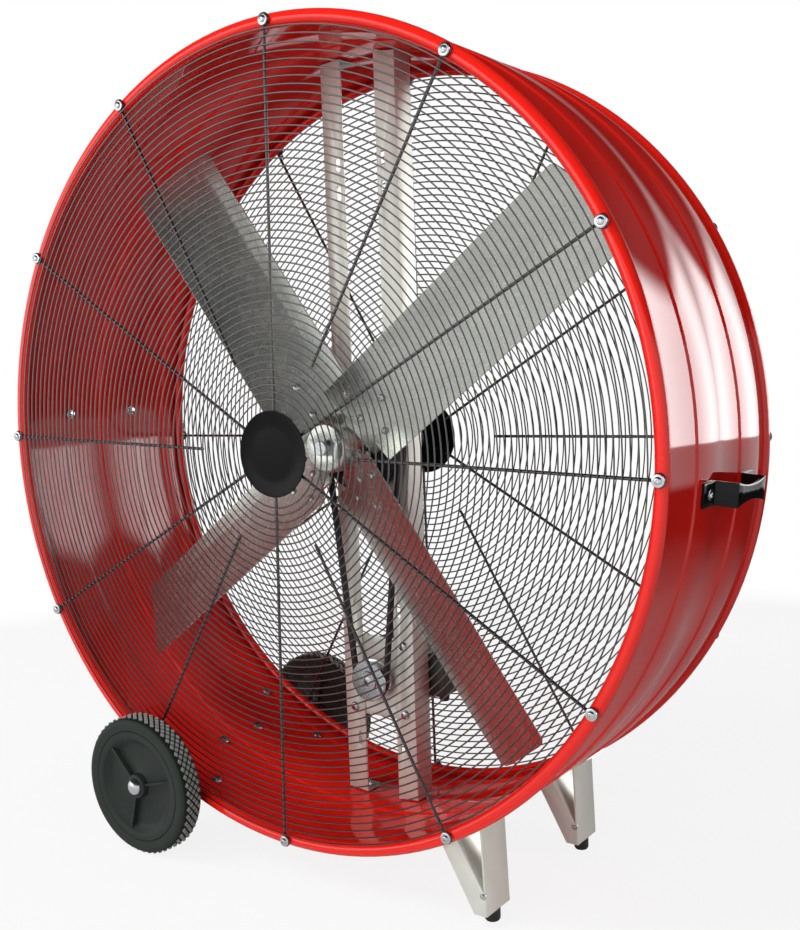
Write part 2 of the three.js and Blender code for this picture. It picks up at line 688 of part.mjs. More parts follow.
function motorLead() {
  const start = new THREE.Vector3(-20, SHELL_FRONT + 40, MOTOR_RADIUS + GAP);
  const end = new THREE.Vector3(BOX_X, BOX_Y, BOX_HEIGHT / 2 + GAP + 2);
  const path = new THREE.CatmullRomCurve3([
    start,
    start.clone().add(new THREE.Vector3(0, 0, 3 * LEAD_RADIUS)),
    new THREE.Vector3(-12, start.y - 10, MOTOR_RADIUS + 0.7 * LEAD_RISE),
    new THREE.Vector3(10, start.y - 20, MOTOR_RADIUS + LEAD_RISE),
    new THREE.Vector3(34, start.y - 16, MOTOR_RADIUS + 0.75 * LEAD_RISE),
    new THREE.Vector3(60, start.y - 6, MOTOR_RADIUS + 0.15 * LEAD_RISE),
    new THREE.Vector3(BOX_X - 2, BOX_Y - 8, BOX_HEIGHT / 2 + 16),
    end,
  ]);
  const ring = new THREE.Shape().absarc(0, 0, LEAD_RADIUS, 0, 2 * Math.PI, false);
  return new THREE.ExtrudeGeometry(ring, { extrudePath: path, steps: 20, curveSegments: 4, bevelEnabled: false });
}

// ---- Handles ----
// The bent strap: X out from the drum, Y along it, drawn with its middle at y = 0.
function handleStrap() {
  const foot = HANDLE_BOLTS / 2 + 25;
  const rise = foot - HANDLE_FOOT;
  const top = SEAT_RADIUS + HANDLE_STANDOFF;
  const low = DRUM_RADIUS;
  const skin = SEAT_RADIUS + HANDLE_SHEET;
  const outside = [[low, -foot], [skin, -foot], [skin, -rise], [top, -rise + 3], [top, rise - 3], [skin, rise]];
  const inside = [[skin, foot], [low, foot], [low, rise - HANDLE_SHEET], [top - HANDLE_SHEET, rise - HANDLE_SHEET - 3]];
  const close = [[top - HANDLE_SHEET, -rise + HANDLE_SHEET + 3], [low, -rise + HANDLE_SHEET]];
  const outline = new THREE.Shape([...outside, ...inside, ...close].map(([x, y]) => new THREE.Vector2(x, y)));
  const bent = new THREE.ExtrudeGeometry(outline, { depth: HANDLE_WIDTH, bevelEnabled: false });
  bent.translate(0, 0, -HANDLE_WIDTH / 2);
  const grip = rise - 6;
  const neck = HANDLE_WIDTH - HANDLE_WAIST;
  const bites = [-1, 1].map((end) => {
    const bite = new THREE.Shape();
    bite.moveTo(-grip, (end * HANDLE_WIDTH) / 2);
    bite.quadraticCurveTo(0, end * (HANDLE_WIDTH / 2 - neck), grip, (end * HANDLE_WIDTH) / 2);
    bite.lineTo(grip, end * (HANDLE_WIDTH / 2 + 5));
    bite.lineTo(-grip, end * (HANDLE_WIDTH / 2 + 5));
    const solid = new THREE.ExtrudeGeometry(bite, { depth: 20, bevelEnabled: false, curveSegments: 6 });
    return solid.rotateX(Math.PI / 2).rotateZ(Math.PI / 2).translate(top - 10, 0, 0);
  });
  return { bent, bites };
}

function handle(angle, middle) {
  const { bent, bites } = handleStrap();
  const strap = cut(bent, ...bites).translate(0, middle, 0).rotateY(angle);
  return cut(strap, drumEnvelope(GAP));
}

// ---- Wheels and axle ----
function tyre() {
  const half = WHEEL_WIDTH / 2;
  return revolve([
    [TYRE_INNER, -half + 3],
    [WHEEL_RADIUS - TYRE_SHOULDER, -half],
    [WHEEL_RADIUS, -half + TYRE_SHOULDER / 2],
    [WHEEL_RADIUS, half - TYRE_SHOULDER / 2],
    [WHEEL_RADIUS - TYRE_SHOULDER, half],
    [TYRE_INNER, half - 3],
  ], ROUND_FINE);
}

function wheel() {
  const half = WHEEL_WIDTH / 2;
  const edge = TYRE_INNER - GAP;
  const disc = revolve([
    [AXLE_BORE, -half],
    [WHEEL_HUB, -half],
    [WHEEL_HUB, -half + 12],
    [edge - 12, -half + 12],
    [edge - 9, -half + 2],
    [edge, -half + 2],
    [edge, half - 2],
    [edge - 9, half - 2],
    [edge - 12, half - 12],
    [WHEEL_HUB, half - 12],
    [WHEEL_HUB, half],
    [AXLE_BORE, half],
  ], ROUND_FINE);
  const length = edge - 10 - WHEEL_HUB + 4;
  const ribs = [0, 1, 2].map((i) => {
    const rib = new THREE.BoxGeometry(5, WHEEL_WIDTH - 10, length);
    return rib.translate(0, 0, WHEEL_HUB - 2 + length / 2).rotateY(((2 * i + 0.5) * Math.PI) / 3);
  });
  return unite(disc, ...ribs);
}

function axleCap(side) {
  const face = WHEEL_WIDTH / 2 + GAP;
  const cap = revolve([
    [AXLE_RADIUS + GAP, face],
    [CAP_RADIUS, face],
    [CAP_RADIUS - 1, face + 3],
    [CAP_RADIUS - 6, face + 8],
    [0, face + 9.5],
    [0, face + 6],
    [AXLE_RADIUS + GAP, face + 6],
  ], ROUND_SMALL);
  return side > 0 ? cap : cap.rotateZ(Math.PI);
}

// A curved foot plate against the drum, centred straight down.
function saddle(span, width) {
  const inner = DRUM_RADIUS - 2;
  const outer = SEAT_RADIUS + LEG_SHEET;
  const shape = new THREE.Shape();
  shape.absarc(0, 0, outer, -Math.PI / 2 - span / 2, -Math.PI / 2 + span / 2, false);
  shape.absarc(0, 0, inner, -Math.PI / 2 + span / 2, -Math.PI / 2 - span / 2, true);
  return plate(shape, -width / 2, width, 4);
}

function axleBracket(middle) {
  const top = DRUM_RADIUS;
  const shape = new THREE.Shape();
  shape.moveTo(-36, -top);
  shape.lineTo(-15, -AXLE_CIRCLE);
  shape.absarc(0, -AXLE_CIRCLE, 15, Math.PI, 2 * Math.PI, false);
  shape.lineTo(36, -top);
  shape.holes.push(roundHole(0, -AXLE_CIRCLE, AXLE_RADIUS + GAP));
  const end = BRACKET_WIDTH / 2;
  const ears = [-end, end - BRACKET_SHEET].map((y) => plate(shape, y, BRACKET_SHEET, 8));
  const pressed = unite(saddle(BRACKET_SPAN, BRACKET_WIDTH), ...ears);
  const axleWay = rod(AXLE_RADIUS + 1.5 * GAP, -end - 1, end + 1, 16).translate(0, 0, -AXLE_CIRCLE);
  return cut(cut(pressed, axleWay).rotateY(AXLE_ANGLE).translate(0, middle, 0), drumEnvelope(GAP));
}

// ---- Legs ----
// A flat strip of the leg between two places in X and Z.
function strip(x0, z0, x1, z1, width) {
  const length = Math.hypot(x1 - x0, z1 - z0);
  const angle = Math.atan2(x1 - x0, z1 - z0);
  const slab = new THREE.BoxGeometry(LEG_SHEET, width, length);
  return slab.rotateY(angle).translate((x0 + x1) / 2, 0, (z0 + z1) / 2);
}

function leg(middle) {
  const base = FLOOR_Z + FOOT_HEIGHT + GAP;
  const drumZ = (x) => -Math.sqrt(DRUM_RADIUS ** 2 - x ** 2);
  const outerX = FOOT_X + FOOT_RADIUS - LEG_SHEET;
  const strutTopZ = drumZ(FOOT_X);
  const strutTopX = outerX - (strutTopZ - base) * Math.tan(LEG_FLARE);
  const strut = strip(outerX, base, strutTopX, strutTopZ, LEG_WIDTH);
  const lean = Math.tan(BRACE_LEAN);
  const jointX = outerX - BRACE_RISE * Math.tan(LEG_FLARE);
  const jointZ = base + BRACE_RISE;
  const reach = 95;
  const brace = strip(jointX, jointZ, jointX - reach * lean, jointZ + reach, LEG_WIDTH);
  const offset = BRACE_FLANGE / Math.cos(BRACE_LEAN);
  const tipX = jointX - reach * lean;
  const tipZ = jointZ + reach;
  const flange = new THREE.Shape([
    [jointX, jointZ], [tipX, tipZ], [tipX - offset, tipZ],
    [FOOT_X - FOOT_RADIUS + 1, base], [outerX, base],
  ].map(([x, z]) => new THREE.Vector2(x, z)));
  const flanges = [-LEG_WIDTH / 2, LEG_WIDTH / 2 - LEG_SHEET].map((y) => plate(flange, y, LEG_SHEET));
  const footPlate = new THREE.BoxGeometry(outerX - FOOT_X + FOOT_RADIUS + 0.5, LEG_WIDTH, LEG_SHEET);
  footPlate.translate((outerX + FOOT_X - FOOT_RADIUS) / 2 + 0.75, 0, base + LEG_SHEET / 2);
  const seatAngle = Math.asin((tipX - offset / 2 + strutTopX) / 2 / DRUM_RADIUS);
  const seat = saddle(THREE.MathUtils.degToRad(12), LEG_WIDTH).rotateY(-seatAngle);
  const whole = unite(strut, brace, ...flanges, footPlate, seat).translate(0, middle, 0);
  return cut(whole, drumEnvelope(GAP));
}

function foot() {
  return revolve([
    [0, FLOOR_Z],
    [FOOT_RADIUS - 3, FLOOR_Z],
    [FOOT_RADIUS, FLOOR_Z + 5],
    [FOOT_RADIUS, FLOOR_Z + FOOT_HEIGHT],
    [0, FLOOR_Z + FOOT_HEIGHT],
  ], ROUND_SMALL).rotateX(Math.PI / 2);
}

// ---- Assembly ----
const drumFan = new THREE.Group();
const drum = new THREE.Group(); // everything measured from the middle of the drum
drum.position.z = HUB_HEIGHT;
drumFan.add(drum);

drum.add(part('drum_shell', drumShell(), redEnamel));

const frontGuard = new THREE.Group();
frontGuard.rotation.y = FRONT_GRILLE_TURN;
frontGuard.add(part('front_grille', grille(-1, 0), blackWire));
frontGuard.add(part('front_badge', badge(-1, 0), badgePlastic));
const rearGuard = new THREE.Group();
rearGuard.rotation.y = REAR_GRILLE_TURN;
rearGuard.add(part('rear_grille', grille(1, REAR_GRILLE_RECESS), blackWire));
rearGuard.add(part('rear_badge', badge(1, REAR_GRILLE_RECESS), badgePlastic));
drum.add(frontGuard, rearGuard);

drum.add(part('left_upright', upright(-1), galvanised));
drum.add(part('right_upright', upright(1), galvanised));
drum.add(part('bearing_plate', bearingPlate(), galvanised));
drum.add(part('bearing_housing', bearingHousing(), castIron));
drum.add(part('front_bearing', bearing(BEHIND_PLATE + 4), brightSteel));
drum.add(part('rear_bearing', bearing(BEHIND_PLATE + HOUSING_LENGTH - BEARING_WIDTH - 4), brightSteel));

const fan = new THREE.Group();
fan.add(part('fan_shaft', rod(SHAFT_RADIUS, FAN_Y - SHAFT_FRONT, BEHIND_PLATE + HOUSING_LENGTH + 6), brightSteel));
const sheaveShape = groovedWheel(SHEAVE_RADIUS, SHAFT_RADIUS + GAP, SHEAVE_HUB, SHEAVE_HUB_LENGTH, ROUND_FINE);
const sheave = part('driven_sheave', sheaveShape, castIron);
sheave.position.y = BELT_Y;
fan.add(sheave);
const wheelOfBlades = new THREE.Group();
wheelOfBlades.position.y = FAN_Y;
wheelOfBlades.rotation.y = BLADE_ANGLE;
wheelOfBlades.add(part('blade_spider', bladeSpider(), galvanised));
for (let i = 0; i < BLADES; i += 1) {
  const piece = part(`blade_${i + 1}`, blade(), galvanised);
  piece.rotation.y = (2 * Math.PI * i) / BLADES;
  wheelOfBlades.add(piece);
}
fan.add(wheelOfBlades);
drum.add(fan);

const belt = part('drive_belt', driveBelt(), beltRubber);
belt.position.y = BELT_Y;
drum.add(belt);

const motor = new THREE.Group();
motor.position.z = -MOTOR_DROP;
motor.add(part('motor_plate', motorPlate(), galvanised));
motor.add(part('motor_front_bell', motorBell(BEHIND_PLATE, SHELL_FRONT), motorPaint));
motor.add(part('motor_shell', motorShell(), motorPaint));
motor.add(part('motor_rear_bell', motorBell(BEHIND_PLATE + MOTOR_LENGTH, SHELL_REAR), motorPaint));
motor.add(part('motor_stator', motorStator(), copper));
motor.add(part('motor_rotor', motorRotor(), brightSteel));
const pulleyShape = groovedWheel(PULLEY_RADIUS, MOTOR_SHAFT + GAP, PULLEY_HUB, PULLEY_HUB_LENGTH, ROUND);
const pulley = part('motor_pulley', pulleyShape, brightSteel);
pulley.position.y = BELT_Y;
motor.add(pulley);
const box = part('switch_box', switchBox(), motorPaint);
box.position.set(BOX_X, BOX_Y, 0);
motor.add(box);
const knob = part('switch_knob', switchKnob(), blackPaint);
knob.position.set(BOX_X, 0, KNOB_Z);
motor.add(knob);
motor.add(part('motor_lead', motorLead(), beltRubber));
drum.add(motor);

for (const [name, middle] of Object.entries(HANDLE_MIDDLES)) {
  const angle = name === 'right_handle' ? HANDLE_TURN : HANDLE_TURN + Math.PI;
  drum.add(part(name, handle(angle, middle), blackPaint));
}

drum.add(part('front_axle_bracket', axleBracket(-BRACKET_Y), galvanised));
drum.add(part('rear_axle_bracket', axleBracket(BRACKET_Y), galvanised));
const axleEnd = WHEEL_Y + WHEEL_WIDTH / 2 + 4;
const axle = part('wheel_axle', rod(AXLE_RADIUS, -axleEnd, axleEnd, ROUND), brightSteel);
axle.position.set(AXLE_X, 0, AXLE_Z);
drum.add(axle);

for (const [name, side] of [['front', -1], ['rear', 1]]) {
  const wheelSet = new THREE.Group();
  wheelSet.position.set(AXLE_X, side * WHEEL_Y, AXLE_Z);
  wheelSet.add(part(`${name}_tyre`, tyre(), tyreRubber));
  wheelSet.add(part(`${name}_wheel`, wheel(), wheelPlastic));
  wheelSet.add(part(`${name}_axle_cap`, axleCap(side), brightSteel));
  drum.add(wheelSet);

  const middle = side * FOOT_Y;
  drum.add(part(`${name}_leg`, leg(middle), galvanised));
  const bumper = part(`${name}_foot`, foot(), blackPaint);
  bumper.position.set(FOOT_X, middle, 0);
  drum.add(bumper);
}

export default drumFan;
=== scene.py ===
import math

import bpy
from mathutils import Matrix, Vector


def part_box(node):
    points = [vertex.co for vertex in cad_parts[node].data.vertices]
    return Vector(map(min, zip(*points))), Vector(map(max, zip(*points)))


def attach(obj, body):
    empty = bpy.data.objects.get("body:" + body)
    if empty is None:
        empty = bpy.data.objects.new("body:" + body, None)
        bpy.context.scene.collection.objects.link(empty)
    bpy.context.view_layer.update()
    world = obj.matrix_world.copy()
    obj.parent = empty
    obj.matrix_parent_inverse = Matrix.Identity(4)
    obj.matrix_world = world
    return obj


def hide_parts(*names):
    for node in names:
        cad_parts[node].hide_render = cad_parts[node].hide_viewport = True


# The looks of a belt-driven drum fan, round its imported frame. Metres: +X is right seen from the
# front, -Y is the front, where the air leaves, and +Z is up. All places are measured from the hub,
# the middle of the drum.
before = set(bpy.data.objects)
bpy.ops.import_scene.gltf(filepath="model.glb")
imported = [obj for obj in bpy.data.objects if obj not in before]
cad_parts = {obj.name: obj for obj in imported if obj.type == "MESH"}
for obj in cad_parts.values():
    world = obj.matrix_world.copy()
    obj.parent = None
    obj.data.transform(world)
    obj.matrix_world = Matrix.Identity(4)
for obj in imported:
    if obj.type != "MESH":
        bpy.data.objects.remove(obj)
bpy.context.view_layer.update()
mm = 0.001
hub = sum(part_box("drum_shell"), Vector()) / 2
scene = bpy.context.scene

# ---- Camera ----
# The photograph's viewpoint: in front of the fan, to its right and a little above its hub, with the
# lens's axis below and right of the picture's middle.
view_turn = math.radians(34.0)
view_rise = math.radians(8.28)
view_roll = math.radians(-1.64)
back = Vector((math.sin(view_turn) * math.cos(view_rise), -math.cos(view_turn) * math.cos(view_rise),
               math.sin(view_rise)))
right = (-back).cross(Vector((0, 0, 1))).normalized()
level = Matrix((right, right.cross(-back), back)).transposed()
bpy.ops.object.camera_add()
camera = bpy.context.object
camera.matrix_world = (Matrix.Translation(hub + Vector((1.2237, -1.5473, 0.1361)))
                       @ (Matrix.Rotation(view_roll, 3, back) @ level).to_4x4())
camera.data.lens = 43.9
camera.data.sensor_width = 36
camera.data.shift_x = -0.0486
camera.data.shift_y = 0.0669
scene.camera = camera
scene.view_settings.view_transform = "Standard"


# ---- Studio ----
# A pale floor that fades into a white backdrop, and large soft lamps. The backdrop has a window, a
# bright wall and a dim ceiling that only the fan's paint and metal show, in their reflections.
def linear(code):
    """An sRGB hex colour as linear red, green, blue and alpha."""
    parts = [int(code[i:i + 2], 16) / 255 for i in (0, 2, 4)]
    return [c / 12.92 if c < 0.04045 else ((c + 0.055) / 1.055) ** 2.4 for c in parts] + [1]


def set_inputs(node, inputs):
    """Gives each input its value, or links it to its output socket."""
    for name, value in inputs.items():
        if isinstance(value, bpy.types.NodeSocket):
            node.id_data.links.new(value, node.inputs[name])
        else:
            node.inputs[name].default_value = value


def add_node(tree, kind, inputs=None, **settings):
    """Adds a node with its settings and its inputs."""
    made = tree.nodes.new(kind)
    for name, value in settings.items():
        setattr(made, name, value)
    set_inputs(made, inputs or {})
    return made


def seen_directly(tree):
    """1 for rays from the camera, off a shiny surface or through glass, and 0 for others."""
    path = add_node(tree, "ShaderNodeLightPath")
    shiny = add_node(tree, "ShaderNodeMath", {0: path.outputs["Is Camera Ray"], 1: path.outputs["Is Glossy Ray"]},
                     operation="ADD")
    return add_node(tree, "ShaderNodeMath", {0: shiny.outputs[0], 1: path.outputs["Is Transmission Ray"]},
                    operation="ADD", use_clamp=True).outputs[0]


bpy.ops.object.select_all(action="DESELECT")
floor_size = 24
floor_drop = 0.5 * mm  # keeps it clear of the feet
bpy.ops.mesh.primitive_plane_add(size=floor_size, location=(0, 0, -floor_drop))
floor = bpy.context.object
floor.name = "studio_floor"
floor_paint = bpy.data.materials.new("pale studio floor")
floor_paint.use_nodes = True
tree = floor_paint.node_tree
tree.nodes.clear()
place = add_node(tree, "ShaderNodeTexCoord")
distance = add_node(tree, "ShaderNodeVectorMath", {0: place.outputs["Object"]}, operation="LENGTH")
# The camera sees the floor fade to white, but not so far that the fan's shadow is lost.
far = add_node(tree, "ShaderNodeMapRange", {"Value": distance.outputs["Value"], "From Min": 0.9, "From Max": 2.6},
               interpolation_type="SMOOTHSTEP")
shown = add_node(tree, "ShaderNodeMath", {0: far.outputs[0], 1: seen_directly(tree)}, operation="MULTIPLY")
path = add_node(tree, "ShaderNodeLightPath")
least_white = 0.86
kept_pale = add_node(tree, "ShaderNodeMath", {0: path.outputs["Is Camera Ray"], 1: least_white},
                     operation="MULTIPLY")
whitened = add_node(tree, "ShaderNodeMath", {0: shown.outputs[0], 1: kept_pale.outputs[0]}, operation="MAXIMUM")
# Reflections show a dark ring of floor behind the fan, which the drum's side mirrors at its foot.
ring_brightness = 0.02
near_brightness = 0.9
room = add_node(tree, "ShaderNodeSeparateXYZ", {0: place.outputs["Object"]})
past_near = add_node(tree, "ShaderNodeMapRange", {"Value": distance.outputs["Value"], "From Min": 1.0,
                                                  "From Max": 1.55}, interpolation_type="SMOOTHSTEP")
before_far = add_node(tree, "ShaderNodeMapRange", {"Value": distance.outputs["Value"], "From Min": 4.2,
                                                   "From Max": 4.8, "To Min": 1, "To Max": 0})
at_the_back = add_node(tree, "ShaderNodeMapRange", {"Value": room.outputs["Y"], "From Min": 0.7, "From Max": 1.1},
                       interpolation_type="SMOOTHSTEP")
ring = add_node(tree, "ShaderNodeMath", {0: past_near.outputs[0], 1: before_far.outputs[0]}, operation="MULTIPLY")
shaded = add_node(tree, "ShaderNodeMath", {0: ring.outputs[0], 1: at_the_back.outputs[0]}, operation="MULTIPLY")
mirrored = add_node(tree, "ShaderNodeMapRange", {"Value": shaded.outputs[0], "To Min": near_brightness,
                                                 "To Max": ring_brightness})
glow = add_node(tree, "ShaderNodeMix", {0: path.outputs["Is Camera Ray"], 2: mirrored.outputs[0], 3: 1.0})
matt = add_node(tree, "ShaderNodeBsdfDiffuse", {"Color": linear("CDCDCD")})
white = add_node(tree, "ShaderNodeEmission", {"Color": linear("FFFFFF"), "Strength": glow.outputs[0]})
mixed = add_node(tree, "ShaderNodeMixShader", {0: whitened.outputs[0], 1: matt.outputs[0], 2: white.outputs[0]})
add_node(tree, "ShaderNodeOutputMaterial", {"Surface": mixed.outputs[0]})
floor.data.materials.append(floor_paint)

# The white backdrop ends 22 degrees above the horizon, under a dim ceiling. In it are a bright window
# behind the fan to the right, a bright wall before it to the left, and a dim corner behind it to the left.
# Diffuse surfaces get the same low light from every side.
window_strength = 5.5
wall_strength = 1.6
ceiling_strength = 0.03
corner_loss = 0.75
room_light = 0.27
world = bpy.data.worlds.new("white studio")
scene.world = world
world.use_nodes = True
tree = world.node_tree
tree.nodes.clear()
place = add_node(tree, "ShaderNodeTexCoord")
parts = add_node(tree, "ShaderNodeSeparateXYZ", {0: place.outputs["Generated"]})
backdrop = add_node(tree, "ShaderNodeMapRange", {"Value": parts.outputs["Z"], "From Min": 0.29, "From Max": 0.385,
                                                 "To Min": 1, "To Max": ceiling_strength},
                    interpolation_type="SMOOTHSTEP")
window_left = add_node(tree, "ShaderNodeMapRange", {"Value": parts.outputs["X"], "From Min": 0.0,
                                                    "From Max": 0.33, "To Max": window_strength},
                       interpolation_type="SMOOTHSTEP")
behind = add_node(tree, "ShaderNodeMapRange", {"Value": parts.outputs["Y"], "From Min": 0.45, "From Max": 0.62})
window = add_node(tree, "ShaderNodeMath", {0: window_left.outputs[0], 1: behind.outputs[0]}, operation="MULTIPLY")
left_wall = add_node(tree, "ShaderNodeMapRange", {"Value": parts.outputs["X"], "From Min": -0.25, "From Max": -0.5,
                                                  "To Max": wall_strength})
in_front = add_node(tree, "ShaderNodeMapRange", {"Value": parts.outputs["Y"], "From Min": -0.35, "From Max": -0.6})
front_wall = add_node(tree, "ShaderNodeMath", {0: left_wall.outputs[0], 1: in_front.outputs[0]},
                      operation="MULTIPLY")
bright = add_node(tree, "ShaderNodeMath", {0: window.outputs[0], 1: front_wall.outputs[0]}, operation="ADD")
brightness = add_node(tree, "ShaderNodeMath", {0: bright.outputs[0], 1: 1.0}, operation="ADD")
dim_side = add_node(tree, "ShaderNodeMapRange", {"Value": parts.outputs["X"], "From Min": -0.30, "From Max": 0.0,
                                                 "To Min": corner_loss, "To Max": 0})
dim_corner = add_node(tree, "ShaderNodeMath", {0: dim_side.outputs[0], 1: behind.outputs[0]}, operation="MULTIPLY")
lit = add_node(tree, "ShaderNodeMath", {0: brightness.outputs[0], 1: dim_corner.outputs[0]}, operation="SUBTRACT")
seen = add_node(tree, "ShaderNodeMath", {0: backdrop.outputs[0], 1: lit.outputs[0]}, operation="MULTIPLY")
path = add_node(tree, "ShaderNodeLightPath")
strength = add_node(tree, "ShaderNodeMix", {0: path.outputs["Is Camera Ray"], 2: seen.outputs[0], 3: 1.0})
direct = add_node(tree, "ShaderNodeMix", {0: seen_directly(tree), 2: room_light, 3: strength.outputs[0]})
sky = add_node(tree, "ShaderNodeBackground", {"Color": linear("FFFFFF"), "Strength": direct.outputs[0]})
add_node(tree, "ShaderNodeOutputWorld", {"Surface": sky.outputs[0]})


def hang(lamp, where, aim=(0, 0, 0)):
    """Hangs a lamp at a place, aimed at another, both from the hub, and out of every reflection."""
    holder = bpy.data.objects.new(lamp.name, lamp)
    holder.location = hub + Vector(where)
    holder.rotation_euler = (Vector(aim) - Vector(where)).to_track_quat("-Z", "Y").to_euler()
    holder.visible_glossy = False
    scene.collection.objects.link(holder)


for name, where, width, height, watts in (("key_lamp", (-2.2, -3.0, 4.2), 2.4, 2.4, 230),
                                          ("fill_lamp", (0.2, -3.6, 0.5), 2.6, 2.0, 88),
                                          ("top_lamp", (0.3, 0.4, 3.4), 2.4, 2.4, 30)):
    lamp = bpy.data.lights.new(name, "AREA")
    lamp.shape = "RECTANGLE"
    lamp.size, lamp.size_y, lamp.energy = width, height, watts
    hang(lamp, where)

# A narrow lamp low on the right lights the outer faces of the legs.
lamp = bpy.data.lights.new("leg_lamp", "SPOT")
lamp.energy = 110
lamp.spot_size = math.radians(19)
lamp.spot_blend = 0.6
lamp.shadow_soft_size = 0.15
hang(lamp, (2.4, -0.5, -0.5), aim=(0.35, 0, -0.75))


# ---- Drum ----
# A deep round drum of 1.5 mm steel sheet, seamed into a tube, with two raised bands rolled into it and
# both edges curled over into rims. It is powder-coated red, glossy on both sides.
def new_material(name):
    """A material with its node tree, its Object coordinates and its Principled BSDF."""
    made = bpy.data.materials.new(name)
    made.use_nodes = True
    place = add_node(made.node_tree, "ShaderNodeTexCoord")
    return made, made.node_tree, place.outputs["Object"], made.node_tree.nodes["Principled BSDF"]


def add_new(name, primitive, **settings):
    """Adds a primitive as the only selected object, with its place in its mesh."""
    bpy.ops.object.select_all(action="DESELECT")
    primitive(**settings)
    made = bpy.context.object
    made.name = made.data.name = name
    bpy.ops.object.transform_apply(location=True, rotation=True, scale=True)
    return made


def spun(name, line, middle=hub, steps=64, closed=True, upright=False):
    """A line of (radius, place along the axis) points, drawn beside middle and spun round once."""
    def spot(radius, along):
        return Vector((radius, 0, along)) if upright else Vector((0, along, radius))

    made = add_new(name, bpy.ops.mesh.primitive_plane_add, size=mm, location=middle + spot(*line[0]))
    bpy.ops.object.mode_set(mode="EDIT")
    bpy.ops.mesh.merge(type="CENTER")
    for here, there in zip(line, line[1:] + (line[:1] if closed else [])):
        bpy.ops.mesh.extrude_region_move(TRANSFORM_OT_translate={"value": spot(*there) - spot(*here)})
    bpy.ops.mesh.select_all(action="SELECT")
    bpy.ops.mesh.spin(steps=steps, angle=2 * math.pi, center=middle, axis=(0, 0, 1) if upright else (0, 1, 0))
    bpy.ops.mesh.select_all(action="SELECT")
    bpy.ops.mesh.remove_doubles(threshold=0.005 * mm)
    bpy.ops.mesh.normals_make_consistent(inside=False)
    bpy.ops.object.mode_set(mode="OBJECT")
    return made


def fit(piece, material, body, slot, *nodes, sharp=35):
    """Finishes a piece, puts it on its body and lets it stand for those nodes of the frame."""
    bpy.ops.object.select_all(action="DESELECT")
    piece.select_set(True)
    bpy.context.view_layer.objects.active = piece
    bpy.ops.object.shade_smooth_by_angle(angle=math.radians(sharp))
    piece.data.materials.clear()
    piece.data.materials.append(material)
    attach(piece, body)
    if nodes:
        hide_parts(*nodes)


rim_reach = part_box("drum_shell")[1].z - hub.z
half_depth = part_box("drum_shell")[1].y
rim_size = 11 * mm  # radius of the curled edge
rim_circle = rim_reach - rim_size
wall = rim_reach - 6 * mm
sheet = 1.5 * mm
band_rise = 3 * mm
band_slope = 6 * mm
band_edges = [(edge * mm - half_depth, rises) for edge, rises in ((110, 1), (194, 0), (278, 1), (362, 0))]
curl_end = math.radians(245)
curl_steps = 20
slope_steps = 6


def rim_curl(side, size, radius):
    """The curled edge's section, from the wall round to its end inside the drum."""
    start = -math.acos((radius - rim_circle) / size)
    angles = [start + (curl_end - start) * i / curl_steps for i in range(curl_steps + 1)]
    return [(rim_circle + size * math.cos(a), side * (half_depth - rim_size + size * math.sin(a))) for a in angles]


def drum_wall(radius):
    """The wall's section from front to rear, eased up to each band and down again."""
    line = []
    for edge, rises in band_edges:
        for i in range(slope_steps + 1):
            share = i / slope_steps
            eased = share * share * (3 - 2 * share)
            line.append((radius + band_rise * (eased if rises else 1 - eased), edge + band_slope * (share - 0.5)))
    return line


outside = drum_wall(wall) + rim_curl(1, rim_size, wall)
inside = rim_curl(1, rim_size - sheet, wall - sheet)[::-1] + drum_wall(wall - sheet)[::-1]
front_rim = rim_curl(-1, rim_size - sheet, wall - sheet) + rim_curl(-1, rim_size, wall)[::-1]
drum = spun("drum", outside + inside + front_rim, steps=180)

# Powder-coated enamel gives a clear gloss over a deep red, with a faint orange peel of about 4 mm.
red_enamel, tree, place, gloss = new_material("red powder-coat enamel")
peel = add_node(tree, "ShaderNodeTexNoise", {"Vector": place, "Scale": 250, "Detail": 1})
cloud = add_node(tree, "ShaderNodeTexNoise", {"Vector": place, "Scale": 5, "Detail": 2})
shade = add_node(tree, "ShaderNodeMix", {0: cloud.outputs["Fac"], 6: linear("D21A12"), 7: linear("DE2016")},
                 data_type="RGBA")
bump = add_node(tree, "ShaderNodeBump", {"Height": peel.outputs["Fac"], "Strength": 0.06, "Distance": 0.3 * mm})
set_inputs(gloss, {"Base Color": shade.outputs[2], "Normal": bump.outputs[0], "Roughness": 0.42,
                   "Specular IOR Level": 0, "Coat Weight": 0.85, "Coat Roughness": 0.05})
fit(drum, red_enamel, "drum", "red_enamel", "drum_shell")


# ---- Grilles ----
# Each end has a welded wire guard: 48 rings of thin wire lie on twelve spokes, of which every other
# one stops short of the badge. The wire is black powder-coated.
def copied(original, name, turn):
    """A copy with its own mesh, turned by that matrix in the frame of the whole fan."""
    made = original.copy()
    made.data = original.data.copy()
    made.name = made.data.name = name
    scene.collection.objects.link(made)
    made.data.transform(turn)
    return made


def joined(pieces, name):
    """Several objects made one."""
    bpy.ops.object.select_all(action="DESELECT")
    for piece in pieces:
        piece.select_set(True)
    bpy.context.view_layer.objects.active = pieces[0]
    bpy.ops.object.join()
    made = bpy.context.object
    made.name = made.data.name = name
    return made


def about_axis(angle):
    """A turn about the fan's axis, clockwise seen from the front."""
    return Matrix.Translation(hub) @ Matrix.Rotation(angle, 4, "Y") @ Matrix.Translation(-hub)


